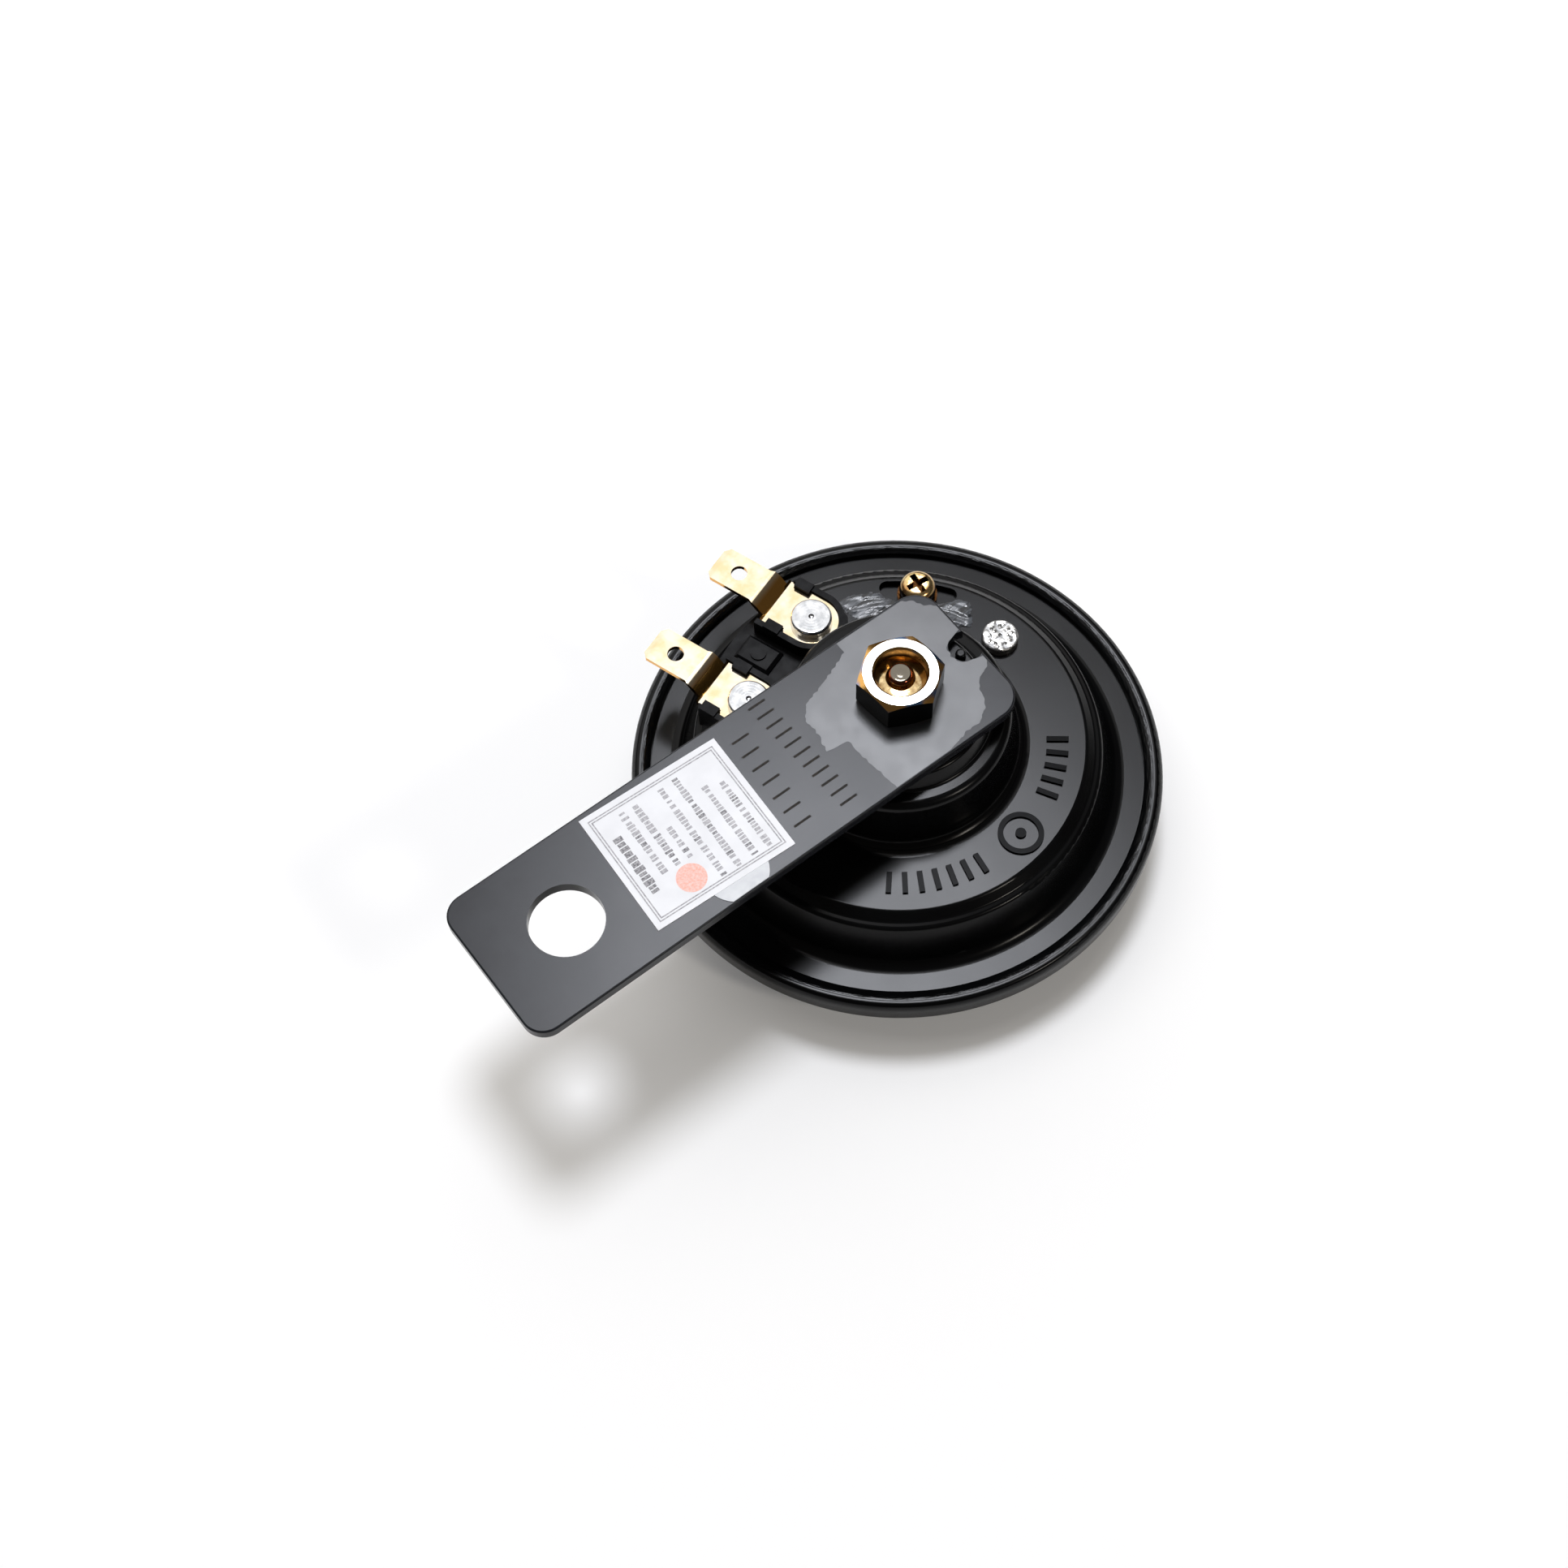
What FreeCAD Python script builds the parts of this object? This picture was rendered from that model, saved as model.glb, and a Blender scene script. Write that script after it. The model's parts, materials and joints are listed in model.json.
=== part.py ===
import FreeCAD, Part
import math
import os

Vector = FreeCAD.Vector

# Disc horn, millimetres, +Z from the sound side to the mounting bracket.
# The origin is the centre of the front cover, where it rests on a table.
# The bracket runs along X, with its free end towards -X.

# Crimped rim: the front cover's edge is folded over the pack of sheets
rim_radius = 43.0
rim_round = 1.1
rim_gap = 0.8
lip_width = 3.1
cover_wall = 0.9
gasket_thickness = 0.5
gasket_width = 2.9
diaphragm_thickness = 0.4
housing_wall = 1.0

# Front cover, stepping in from the rim
cover_flange_width = 5.6
cover_foot_round = 2.0
cover_side_lean = 3.2
cover_face_round = 3.0
cover_face_width = 7.0
cover_recess_depth = 1.2
cover_boss_radius = 8.0
cover_step_run = 1.8
slot_count = 16
slot_width = 2.4
slot_margin = 2.3
front_clearance = 1.3

# Rear housing, stepping in from the rim and up from the flange
flange_width = 7.8
wall_foot_round = 2.2
wall_lean = 2.7
ledge_height = 7.6
ledge_round = 0.9
ledge_inner_round = 0.6
ledge_width = 1.1
ledge_rise = 0.2
plateau_step_run = 1.4
plateau_step_rise = 1.2
plateau_round = 0.8
plateau_width = 11.1
cup_foot_round = 2.4
cup_lean = 1.4
cup_rise = 10.2
cup_round = 1.5
crest_width = 2.8
crest_rise = 0.2
seat_lean = 1.2
seat_rise = 2.8
seat_round = 0.7

# Raised marks on the plateau: plain bars and one plain ring
mark_inset = 4.7
mark_length = 3.5
mark_width = 0.85
mark_height = 0.4
ring_mark_angle = -79.5
ring_mark_radius = 3.6
bar_angle_step = 5.6
front_bar_count = 5
back_bar_count = 7
front_bar_angle = -38.5
back_bar_angle = -98.0

# Mounting bracket, stud and nut
bracket_width = 26.0
bracket_thickness = 2.2
bracket_end_margin = 14.1
bracket_tail_overhang = 0.9
bracket_corner_far = 3.6
bracket_corner_near = 4.4
bracket_edge_round = 0.3
hole_distance = 62.2
hole_radius = 5.8
notch_radius = 2.75
notch_inset = 1.4
pip_radius = 0.85
pip_height = 1.2
pip_round = 0.4
pip_shift = 0.9
stud_radius = 4.0
stud_clearance = 0.05
stud_hole_clearance = 0.3
stud_dome = 0.6
stud_recess = 1.5
stud_point_radius = 1.9
stud_point_height = 1.3
stud_point_round = 0.6
nut_width = 12.0
nut_height = 6.0
nut_angle = 36.2
nut_chamfer_radius = 5.75
nut_chamfer_angle = 30.0
nut_sink = 0.35

# Stickers on the bracket
label_length = 24.3
label_width = 21.7
label_from_hole = 22.25
label_side = 0.65
label_angle = -2.5
label_thickness = 0.12
seal_radius = 5.0
seal_shift = 2.05
seal_side = -8.85
seal_gap = 0.02
seal_edge_margin = 0.35

# Terminals and their block, in a frame turned to the terminals' direction
terminal_angle = 109.0
terminal_inset = 7.7
terminal_spacing = 18.0
tab_thickness = 0.8
tab_width = 6.4
tab_root_width = 7.0
tab_root_taper = 0.8
tab_length = 9.3
tab_tip_corner = 0.9
tab_tip_bevel = 1.0
tab_tip_bevel_depth = 0.28
tab_hole_radius = 1.35
tab_hole_distance = 4.5
joggle_run = 2.1
joggle_rise = 2.2
joggle_bend = 0.5
palm_width = 8.8
palm_length = 7.1
palm_notch_start = 2.9
palm_notch_length = 3.0
palm_notch_depth = 0.8
palm_clearance = 0.1
pad_height = 2.6
pad_wall = 1.0
pad_wall_rise = 0.4
pad_overhang = 0.4
post_rise = 0.4
base_height = 0.9
base_corner = 2.0
platform_height = 1.8
platform_length = 6.5
platform_width = 4.8
platform_shift = 4.3
platform_chamfer = 0.5
platform_boss_radius = 1.3
platform_boss_height = 0.3
block_overhang = 1.8
block_skirt = 1.8
sleeve_radius = 2.9
sleeve_clearance = 0.1
insulator_thickness = 1.2
insulator_side_margin = 5.0
insulator_length = 9.0
insulator_corner = 2.0

# Terminal rivets and the tags under them
rivet_head_radius = 3.35
rivet_head_height = 1.4
rivet_head_round = 0.45
rivet_dimple_radius = 0.5
rivet_dimple_depth = 0.3
rivet_shank_radius = 1.6
rivet_hole_clearance = 0.05
rivet_tail_radius = 2.6
rivet_tail_height = 0.9
tag_radius = 3.3
tag_thickness = 0.6
tag_length = 6.6
tag_width = 3.0

# Contact breaker, held by one rivet through the plateau
breaker_inset = 5.4
breaker_angle = 9.3
breaker_head_radius = 2.95
breaker_head_height = 1.6
breaker_head_round = 0.4
breaker_knurl_count = 7
breaker_knurl_radius = 0.32
breaker_knurl_ring = 1.75
breaker_shank_radius = 1.5
breaker_washer_radius = 3.2
breaker_washer_thickness = 0.6
upper_insulator_thickness = 1.2
lower_insulator_thickness = 0.8
spring_thickness = 0.4
spring_width = 5.0
spring_tongue_width = 4.0
carrier_thickness = 1.2
carrier_width = 6.4
point_radius = 1.4
contact_inset = 10.4
contact_angle = 40.0
tongue_clearance = 0.4

# Adjusting screw
adjuster_inset = 3.9
adjuster_angle = 44.5
adjuster_head_radius = 2.95
adjuster_head_height = 2.0
adjuster_head_round = 1.5
adjuster_head_rise = 2.9
adjuster_shank_radius = 1.5
adjuster_cross_width = 1.0
adjuster_cross_length = 3.7
adjuster_cross_depth = 1.3
adjuster_cross_turn = -8.0
bush_radius = 3.25
bush_height = 1.6
bush_shank_radius = 2.2
bush_shank_depth = 2.2
bush_clearance = 0.05
recess_inset = 2.0
recess_half_width = 1.3
recess_depth = 1.2
recess_start_angle = 34.0
recess_end_angle = 55.0
sealant_thickness = 0.4
sealant_gap = 0.4

# Magnet: pole core with its stud, coil and armature
pole_share = 0.445
pole_gap = 0.8
pole_plate_clearance = 0.9
bobbin_side_clearance = 1.3
bobbin_wall = 0.9
bobbin_flange = 1.0
bobbin_top_clearance = 0.2
bobbin_bottom_clearance = 1.2
winding_inset = 0.6
wire_radius = 0.45
lead_hole_clearance = 0.15
lead_exit_inset = 1.05
lead_exit_angles = (129.0, 26.0)
lead_joint_margin = 1.2
leaf_joint_angle = 17.3
supply_lead_shift = 2.2
nose_clearance = 0.5
shoulder_width = 3.0
armature_nose_length = 3.2
stud_end_length = 0.4
tappet_gap = 0.6
armature_stud_radius = 2.5
front_washer_radius = 7.0
front_washer_thickness = 1.0
spacer_radius = 4.2
spacer_length = 2.0
tone_disc_clearance = 8.2
tone_disc_thickness = 0.8
tone_disc_rise = 0.9
tone_disc_flat_radius = 9.0
tone_disc_round = 1.8
small_nut_width = 8.0
small_nut_height = 2.4
bore_clearance = 0.05

# Diaphragm's rings
corrugation_inset = 12.0
corrugation_spacing = 6.0
corrugation_count = 3
corrugation_height = 0.9
corrugation_run = 1.6
corrugation_round = 0.8

# How far a cut runs past the face it opens, and a fused piece into its carrier
past = 1.0
embed = 0.2

# Heights of the stack, from the table up
nut_end_stack = tone_disc_thickness + small_nut_height + stud_end_length
front_stack = front_washer_thickness + spacer_length + nut_end_stack
diaphragm_bottom = cover_wall + front_clearance + front_stack
diaphragm_top = diaphragm_bottom + diaphragm_thickness
cover_flange_top = diaphragm_bottom - gasket_thickness
front_depth = cover_flange_top - cover_wall
flange_bottom = diaphragm_top + gasket_thickness
flange_top = flange_bottom + housing_wall
lip_top = flange_top + cover_wall
ledge_z = flange_top + ledge_height
plateau_z = ledge_z + ledge_rise + plateau_step_rise
ceiling_z = plateau_z - housing_wall
cup_z = plateau_z + cup_rise
seat_z = cup_z + seat_rise
bracket_top = seat_z + bracket_thickness
nut_top = bracket_top + nut_height
recess_floor = plateau_z - recess_depth
palm_bottom = plateau_z + pad_height
palm_top = palm_bottom + tab_thickness
pad_wall_top = palm_top + pad_wall_rise
blade_bottom = palm_bottom + joggle_rise
blade_top = blade_bottom + tab_thickness
platform_top = plateau_z + platform_height
insulator_bottom = ceiling_z - insulator_thickness
tag_bottom = insulator_bottom - tag_thickness
spring_top = ceiling_z - upper_insulator_thickness
spring_bottom = spring_top - spring_thickness
carrier_top = spring_bottom - lower_insulator_thickness
carrier_bottom = carrier_top - carrier_thickness
bobbin_top = cup_z - housing_wall - bobbin_top_clearance
bobbin_bottom = spring_top + bobbin_bottom_clearance
pole_plate_top = seat_z - housing_wall
armature_shoulder = spring_bottom - tappet_gap
armature_top = armature_shoulder + armature_nose_length
pole_face = armature_top + pole_gap
washer_bottom = diaphragm_bottom - front_washer_thickness
spacer_bottom = washer_bottom - spacer_length
tone_disc_bottom = spacer_bottom - tone_disc_thickness
small_nut_bottom = tone_disc_bottom - small_nut_height

# Radii, from the rim inwards
sheet_radius = rim_radius - cover_wall - rim_gap
cover_foot_radius = rim_radius - cover_flange_width
cover_face_radius = cover_foot_radius - cover_side_lean
cover_recess_radius = cover_face_radius - cover_face_width
wall_foot_radius = rim_radius - flange_width
ledge_radius = wall_foot_radius - wall_lean
plateau_radius = ledge_radius - ledge_width - plateau_step_run
cup_foot_radius = plateau_radius - plateau_width
cup_radius = cup_foot_radius - cup_lean
seat_foot_radius = cup_radius - crest_width
seat_radius = seat_foot_radius - seat_lean
stud_hole_radius = stud_radius + stud_hole_clearance
pole_plate_radius = seat_radius - housing_wall - pole_plate_clearance
bobbin_radius = cup_radius - housing_wall - bobbin_side_clearance
winding_radius = bobbin_radius - winding_inset
pole_radius = winding_radius * pole_share
armature_nose_radius = pole_radius - nose_clearance
armature_body_radius = armature_nose_radius + shoulder_width
tone_disc_radius = cover_face_radius - tone_disc_clearance
block_edge_radius = plateau_radius + block_overhang
mark_radius = plateau_radius - mark_inset
recess_radius = plateau_radius - recess_inset
adjuster_radius = plateau_radius - adjuster_inset
breaker_radius = plateau_radius - breaker_inset
contact_radius = plateau_radius - contact_inset
tongue_radius = armature_nose_radius + tongue_clearance + spring_tongue_width / 2

# Places along the bracket and outwards over the terminals
bracket_tail = seat_radius + bracket_tail_overhang
bracket_reach = hole_distance + bracket_end_margin
notch_x = bracket_tail - notch_inset
label_distance = hole_distance - label_from_hole
seal_distance = label_distance - seal_shift
terminal_distance = plateau_radius - terminal_inset
platform_distance = terminal_distance + platform_shift
block_half_width = terminal_spacing / 2 + palm_width / 2 + palm_clearance + pad_wall


def polar(radius, angle, z=0.0):
    a = math.radians(angle)
    return Vector(radius * math.cos(a), radius * math.sin(a), z)


def cylinder(radius, z_low, z_high, centre=Vector(0, 0, 0)):
    base = Vector(centre.x, centre.y, z_low)
    return Part.makeCylinder(radius, z_high - z_low, base)


def top_rim(shape, z):
    # The round edges of a shape at one height
    return [e for e in shape.Edges if e.Closed and abs(e.CenterOfMass.z - z) < 0.01]


def upright_edges(shape):
    return [e for e in shape.Edges if abs(e.tangentAt(e.FirstParameter).z) > 0.99]


def ring(outer, inner, z_low, z_high, centre=Vector(0, 0, 0)):
    return cylinder(outer, z_low, z_high, centre).cut(cylinder(inner, z_low, z_high, centre))


def prism(points, z_low, z_high):
    corners = [Vector(x, y, z_low) for x, y in points]
    wire = Part.makePolygon(corners + corners[:1])
    return Part.Face(wire).extrude(Vector(0, 0, z_high - z_low))


def box(x_low, x_high, y_low, y_high, z_low, z_high):
    size = Vector(x_high - x_low, y_high - y_low, z_high - z_low)
    return Part.makeBox(size.x, size.y, size.z, Vector(x_low, y_low, z_low))


def rounded_box(x_low, x_high, y_low, y_high, z_low, z_high, radius):
    solid = box(x_low, x_high, y_low, y_high, z_low, z_high)
    return solid.makeFillet(radius, upright_edges(solid))


def capsule(start, end, width, z_low, z_high):
    # A flat bar with round ends, from one point to another
    along = (end - start).normalize()
    side = Vector(-along.y, along.x, 0) * (width / 2)
    corners = [start + side, end + side, end - side, start - side]
    bar = prism([(p.x, p.y) for p in corners], z_low, z_high)
    for centre in (start, end):
        bar = bar.fuse(cylinder(width / 2, z_low, z_high, centre))
    return bar.removeSplitter()


def hexagon(width, z_low, z_high, angle=0.0):
    corner = width / math.sqrt(3)
    points = [polar(corner, angle + 60 * i) for i in range(6)]
    return prism([(p.x, p.y) for p in points], z_low, z_high)


def offset_points(points, distance):
    # Moves a path of (radius, height, round) to its left by a distance
    normals = []
    for a, b in zip(points, points[1:]):
        length = math.hypot(b[0] - a[0], b[1] - a[1])
        normals.append((-(b[1] - a[1]) / length, (b[0] - a[0]) / length))
    moved = []
    for i, (r, z, fillet) in enumerate(points):
        n1 = normals[max(i - 1, 0)]
        n2 = normals[min(i, len(normals) - 1)]
        share = distance / (1 + n1[0] * n2[0] + n1[1] * n2[1])
        turn = n1[0] * n2[1] - n1[1] * n2[0]
        grown = fillet - distance * math.copysign(1, turn) if fillet else 0.0
        moved.append((r + share * (n1[0] + n2[0]), z + share * (n1[1] + n2[1]), max(grown, 0.0)))
    return moved


def path_edges(points):
    # Straight runs and round corners through (radius, height, round) in the XZ plane
    edges = []
    last = Vector(points[0][0], 0, points[0][1])
    for i in range(1, len(points) - 1):
        corner = Vector(points[i][0], 0, points[i][1])
        back = (Vector(points[i - 1][0], 0, points[i - 1][1]) - corner).normalize()
        onward = (Vector(points[i + 1][0], 0, points[i + 1][1]) - corner).normalize()
        fillet = points[i][2]
        start, end = corner, corner
        if fillet > 0.01:
            half = back.getAngle(onward) / 2
            reach = fillet / math.tan(half)
            start = corner + back * reach
            end = corner + onward * reach
            middle_way = (back + onward).normalize()
            middle = corner + middle_way * (fillet / math.sin(half) - fillet)
            edges.append(Part.LineSegment(last, start).toShape())
            edges.append(Part.Arc(start, middle, end).toShape())
        else:
            edges.append(Part.LineSegment(last, corner).toShape())
        last = end
    edges.append(Part.LineSegment(last, Vector(points[-1][0], 0, points[-1][1])).toShape())
    return edges


def revolve(edges):
    face = Part.Face(Part.Wire(Part.__sortEdges__(edges)))
    return face.revolve(Vector(0, 0, 0), Vector(0, 0, 1), 360)


def section_edges(points, distance):
    # A sheet's section, between a path and the same path moved by the sheet's thickness
    other = offset_points(points, distance)
    edges = path_edges(points) + path_edges(other)
    for a, b in ((points[0], other[0]), (points[-1], other[-1])):
        edges.append(Part.LineSegment(Vector(a[0], 0, a[1]), Vector(b[0], 0, b[1])).toShape())
    return edges


def sheet(points, distance):
    return revolve(section_edges(points, distance))


def body(points):
    # A solid under a path: closed down to the first point's height and in to the axis
    first, last = points[0], points[-1]
    floor = Vector(0, 0, first[1])
    top = Vector(0, 0, last[1])
    edges = path_edges(points)
    edges.append(Part.LineSegment(Vector(last[0], 0, last[1]), top).toShape())
    edges.append(Part.LineSegment(top, floor).toShape())
    edges.append(Part.LineSegment(floor, Vector(first[0], 0, first[1])).toShape())
    return revolve(edges)


def from_terminal_frame(shape):
    turned = shape.copy()
    turned.rotate(Vector(0, 0, 0), Vector(0, 0, 1), terminal_angle)
    return turned


def place_from_terminal_frame(point):
    return FreeCAD.Rotation(Vector(0, 0, 1), terminal_angle).multVec(point)


def terminal_point(index):
    # In the terminals' frame, index 0 is the terminal on the +X side and 1 the other
    return Vector(terminal_distance, terminal_spacing * (index - 0.5), 0)


def terminal_place(index):
    return place_from_terminal_frame(terminal_point(index))


def locating_pin_place():
    return place_from_terminal_frame(Vector(platform_distance, 0, 0))


def rivet(z_head, z_tail, centre):
    # Flat domed head with a centre mark, shank and upset tail
    top = z_head + rivet_head_height
    head = cylinder(rivet_head_radius, z_head, top, centre)
    head = head.makeFillet(rivet_head_round, top_rim(head, top))
    dimple_z = top + rivet_dimple_radius - rivet_dimple_depth
    dimple = Part.makeSphere(rivet_dimple_radius, Vector(centre.x, centre.y, dimple_z))
    shank = cylinder(rivet_shank_radius, z_tail, z_head, centre)
    tail = cylinder(rivet_tail_radius, z_tail - rivet_tail_height, z_tail, centre)
    return head.cut(dimple).fuse([shank, tail]).removeSplitter()


def wire_run(points):
    # A lead of round wire with a ball at each bend
    pieces = []
    for a, b in zip(points, points[1:]):
        pieces.append(Part.makeCylinder(wire_radius, (b - a).Length, a, b - a))
    for p in points[1:-1]:
        pieces.append(Part.makeSphere(wire_radius, p))
    return pieces[0].fuse(pieces[1:]).removeSplitter()


# Pressed shells

def housing_path():
    return [
        (sheet_radius, flange_top, 0),
        (wall_foot_radius, flange_top, wall_foot_round),
        (ledge_radius, ledge_z, ledge_round),
        (ledge_radius - ledge_width, ledge_z + ledge_rise, ledge_inner_round),
        (plateau_radius, plateau_z, plateau_round),
        (cup_foot_radius, plateau_z, cup_foot_round),
        (cup_radius, cup_z, cup_round),
        (seat_foot_radius, cup_z + crest_rise, seat_round),
        (seat_radius, seat_z, seat_round),
        (stud_hole_radius, seat_z, 0),
    ]


def adjuster_place():
    return polar(adjuster_radius, adjuster_angle)


def recess(half_width, z_low, z_high):
    # A curved pocket with round ends that follows the plateau's edge
    inner, outer = recess_radius - half_width, recess_radius + half_width
    corners = [Vector(inner, 0, z_low), Vector(outer, 0, z_low)]
    corners += [Vector(outer, 0, z_high), Vector(inner, 0, z_high)]
    section = Part.Face(Part.makePolygon(corners + corners[:1]))
    pocket = section.revolve(Vector(0, 0, 0), Vector(0, 0, 1), recess_end_angle - recess_start_angle)
    pocket.rotate(Vector(0, 0, 0), Vector(0, 0, 1), recess_start_angle)
    for angle in (recess_start_angle, recess_end_angle):
        pocket = pocket.fuse(cylinder(half_width, z_low, z_high, polar(recess_radius, angle)))
    return pocket.removeSplitter()


def raised_marks():
    top = plateau_z + mark_height
    bars = []
    for count, first in ((front_bar_count, front_bar_angle), (back_bar_count, back_bar_angle)):
        for i in range(count):
            bar = box(mark_radius - mark_length / 2, mark_radius + mark_length / 2,
                      -mark_width / 2, mark_width / 2, plateau_z - embed, top)
            bar.rotate(Vector(0, 0, 0), Vector(0, 0, 1), first - bar_angle_step * i)
            bars.append(bar)
    centre = polar(mark_radius, ring_mark_angle)
    bars.append(ring(ring_mark_radius, ring_mark_radius - mark_width, plateau_z - embed, top, centre))
    bars.append(cylinder(mark_width, plateau_z - embed, top, centre))
    return bars


def housing_holes():
    low, high = ceiling_z - past, plateau_z + past
    holes = [cylinder(sleeve_radius + sleeve_clearance, low, high, terminal_place(i)) for i in range(2)]
    holes.append(cylinder(platform_boss_radius + sleeve_clearance, low, high, locating_pin_place()))
    holes.append(cylinder(breaker_shank_radius + rivet_hole_clearance, low, high, breaker_place()))
    holes.append(cylinder(bush_shank_radius + bush_clearance, recess_floor - housing_wall - past, high,
                          adjuster_place()))
    return holes


def rear_housing():
    # Drawn steel shell: wall, ledge, plateau, cup for the coil, and the bracket's raised seat
    shell = sheet(housing_path(), housing_wall)
    shell = shell.fuse(recess(recess_half_width + housing_wall, recess_floor - housing_wall,
                              plateau_z - housing_wall / 2))
    shell = shell.cut(recess(recess_half_width, recess_floor, plateau_z + past))
    pip_top = seat_z + pip_height
    pip = cylinder(pip_radius, seat_z - embed, pip_top, Vector(notch_x - pip_shift, 0, 0))
    pip = pip.makeFillet(pip_round, top_rim(pip, pip_top))
    return shell.fuse([pip] + raised_marks()).cut(housing_holes()).removeSplitter()


def front_cover():
    # Pressed cover: rolled lip, rim, side, foot ring, recess with sound slots, and centre boss
    recess_inner = cover_boss_radius + cover_step_run
    recess_outer = cover_recess_radius - cover_step_run
    path = [
        (rim_radius - lip_width, lip_top, 0),
        (rim_radius, lip_top, rim_round),
        (rim_radius, front_depth, rim_round),
        (cover_foot_radius, front_depth, cover_foot_round),
        (cover_face_radius, 0, cover_face_round),
        (cover_recess_radius, 0, cover_step_run / 2),
        (recess_outer, cover_recess_depth, cover_step_run / 2),
        (recess_inner, cover_recess_depth, cover_step_run / 2),
        (cover_boss_radius, 0, cover_step_run / 2),
        (0, 0, 0),
    ]
    shell = sheet(path, -cover_wall)
    inner = recess_inner + slot_margin
    outer = recess_outer - slot_margin
    top = cover_recess_depth + cover_wall + past
    slots = []
    for i in range(slot_count):
        angle = 360.0 * (i + 0.5) / slot_count
        slots.append(capsule(polar(inner, angle), polar(outer - slot_width, angle), slot_width, -past, top))
    return shell.cut(slots)


# Sealed sheet stack

def gasket(z_low):
    return ring(sheet_radius, sheet_radius - gasket_width, z_low, z_low + gasket_thickness)


def diaphragm():
    # Thin sheet with shallow rings that let its middle move
    path = [(sheet_radius, diaphragm_top, 0)]
    for i in range(corrugation_count):
        radius = rim_radius - corrugation_inset - corrugation_spacing * i
        path.append((radius + corrugation_run, diaphragm_top, corrugation_round))
        path.append((radius, diaphragm_top - corrugation_height, corrugation_round))
        path.append((radius - corrugation_run, diaphragm_top, corrugation_round))
    path.append((armature_stud_radius + bore_clearance, diaphragm_top, 0))
    return sheet(path, diaphragm_thickness)


# Magnet

def core_stud():
    # Pole core, plate against the seat, and the stud with its small end point in one turned piece
    shaft_top = nut_top - stud_recess
    core = cylinder(pole_radius, pole_face, bobbin_top)
    plate = cylinder(pole_plate_radius, bobbin_top, pole_plate_top)
    dome_radius = (stud_radius ** 2 + stud_dome ** 2) / (2 * stud_dome)
    shaft = cylinder(stud_radius, pole_plate_top, shaft_top)
    dome = Part.makeSphere(dome_radius, Vector(0, 0, shaft_top - dome_radius))
    lower = cylinder(stud_radius, pole_plate_top, shaft_top - stud_dome)
    shaft = shaft.common(dome.fuse(lower))
    point_top = shaft_top + stud_point_height
    point = cylinder(stud_point_radius, shaft_top - stud_dome, point_top)
    point = point.makeFillet(stud_point_round, top_rim(point, point_top))
    return core.fuse([plate, shaft, point]).removeSplitter()


def coil_bobbin():
    inner = pole_radius
    tube = ring(inner + bobbin_wall, inner, bobbin_bottom, bobbin_top)
    bottom = ring(bobbin_radius, inner, bobbin_bottom, bobbin_bottom + bobbin_flange)
    top = ring(bobbin_radius, inner, bobbin_top - bobbin_flange, bobbin_top)
    bobbin = tube.fuse([bottom, top])
    hole_top = bobbin_bottom + bobbin_flange + embed
    holes = [cylinder(wire_radius + lead_hole_clearance, bobbin_bottom - past, hole_top, lead_exit(i))
             for i in range(2)]
    return bobbin.cut(holes).removeSplitter()


def lead_exit(index):
    return polar(winding_radius - lead_exit_inset, lead_exit_angles[index])


def coil_winding():
    # Full coil whose outer side swells over each turn of wire
    low = bobbin_bottom + bobbin_flange
    high = bobbin_top - bobbin_flange
    inner = pole_radius + bobbin_wall
    valley = winding_radius - wire_radius / 2
    rows = int((high - low) / (2 * wire_radius))
    pitch = (high - low) / rows
    corners = [Vector(valley, 0, low), Vector(inner, 0, low), Vector(inner, 0, high), Vector(valley, 0, high)]
    edges = [Part.LineSegment(a, b).toShape() for a, b in zip(corners, corners[1:])]
    for i in range(rows):
        z = low + i * pitch
        middle = Vector(winding_radius, 0, z + pitch / 2)
        edges.append(Part.Arc(Vector(valley, 0, z), middle, Vector(valley, 0, z + pitch)).toShape())
    return revolve(edges)


def armature():
    # Turned steel slug: nose in the bobbin, shoulder under the contact tongue, stud to the front
    nose = cylinder(armature_nose_radius, armature_shoulder, armature_top)
    slug = cylinder(armature_body_radius, diaphragm_top, armature_shoulder)
    stud = cylinder(armature_stud_radius, small_nut_bottom - stud_end_length, diaphragm_top)
    return slug.fuse([nose, stud]).removeSplitter()


def front_washer():
    return ring(front_washer_radius, armature_stud_radius + bore_clearance, washer_bottom, diaphragm_bottom)


def tone_disc_spacer():
    return ring(spacer_radius, armature_stud_radius + bore_clearance, spacer_bottom, washer_bottom)


def tone_disc():
    path = [
        (tone_disc_radius, spacer_bottom + tone_disc_rise, 0),
        (tone_disc_flat_radius + tone_disc_round, spacer_bottom + tone_disc_rise, tone_disc_round),
        (tone_disc_flat_radius, spacer_bottom, tone_disc_round),
        (armature_stud_radius + bore_clearance, spacer_bottom, 0),
    ]
    return sheet(path, tone_disc_thickness)


def armature_nut():
    nut = hexagon(small_nut_width, small_nut_bottom, tone_disc_bottom)
    bore = cylinder(armature_stud_radius + bore_clearance, small_nut_bottom - past, tone_disc_bottom + past)
    return nut.cut(bore)


# Bracket and nut

def bracket_outline(z_low, z_high, inset=0.0):
    half = bracket_width / 2 - inset
    strip = box(-bracket_reach + inset, bracket_tail - inset, -half, half, z_low, z_high)
    far = [e for e in upright_edges(strip) if e.CenterOfMass.x < 0]
    strip = strip.makeFillet(bracket_corner_far - inset, far)
    near = [e for e in upright_edges(strip) if abs(e.CenterOfMass.x - bracket_tail + inset) < 0.01]
    return strip.makeFillet(bracket_corner_near - inset, near)


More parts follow.
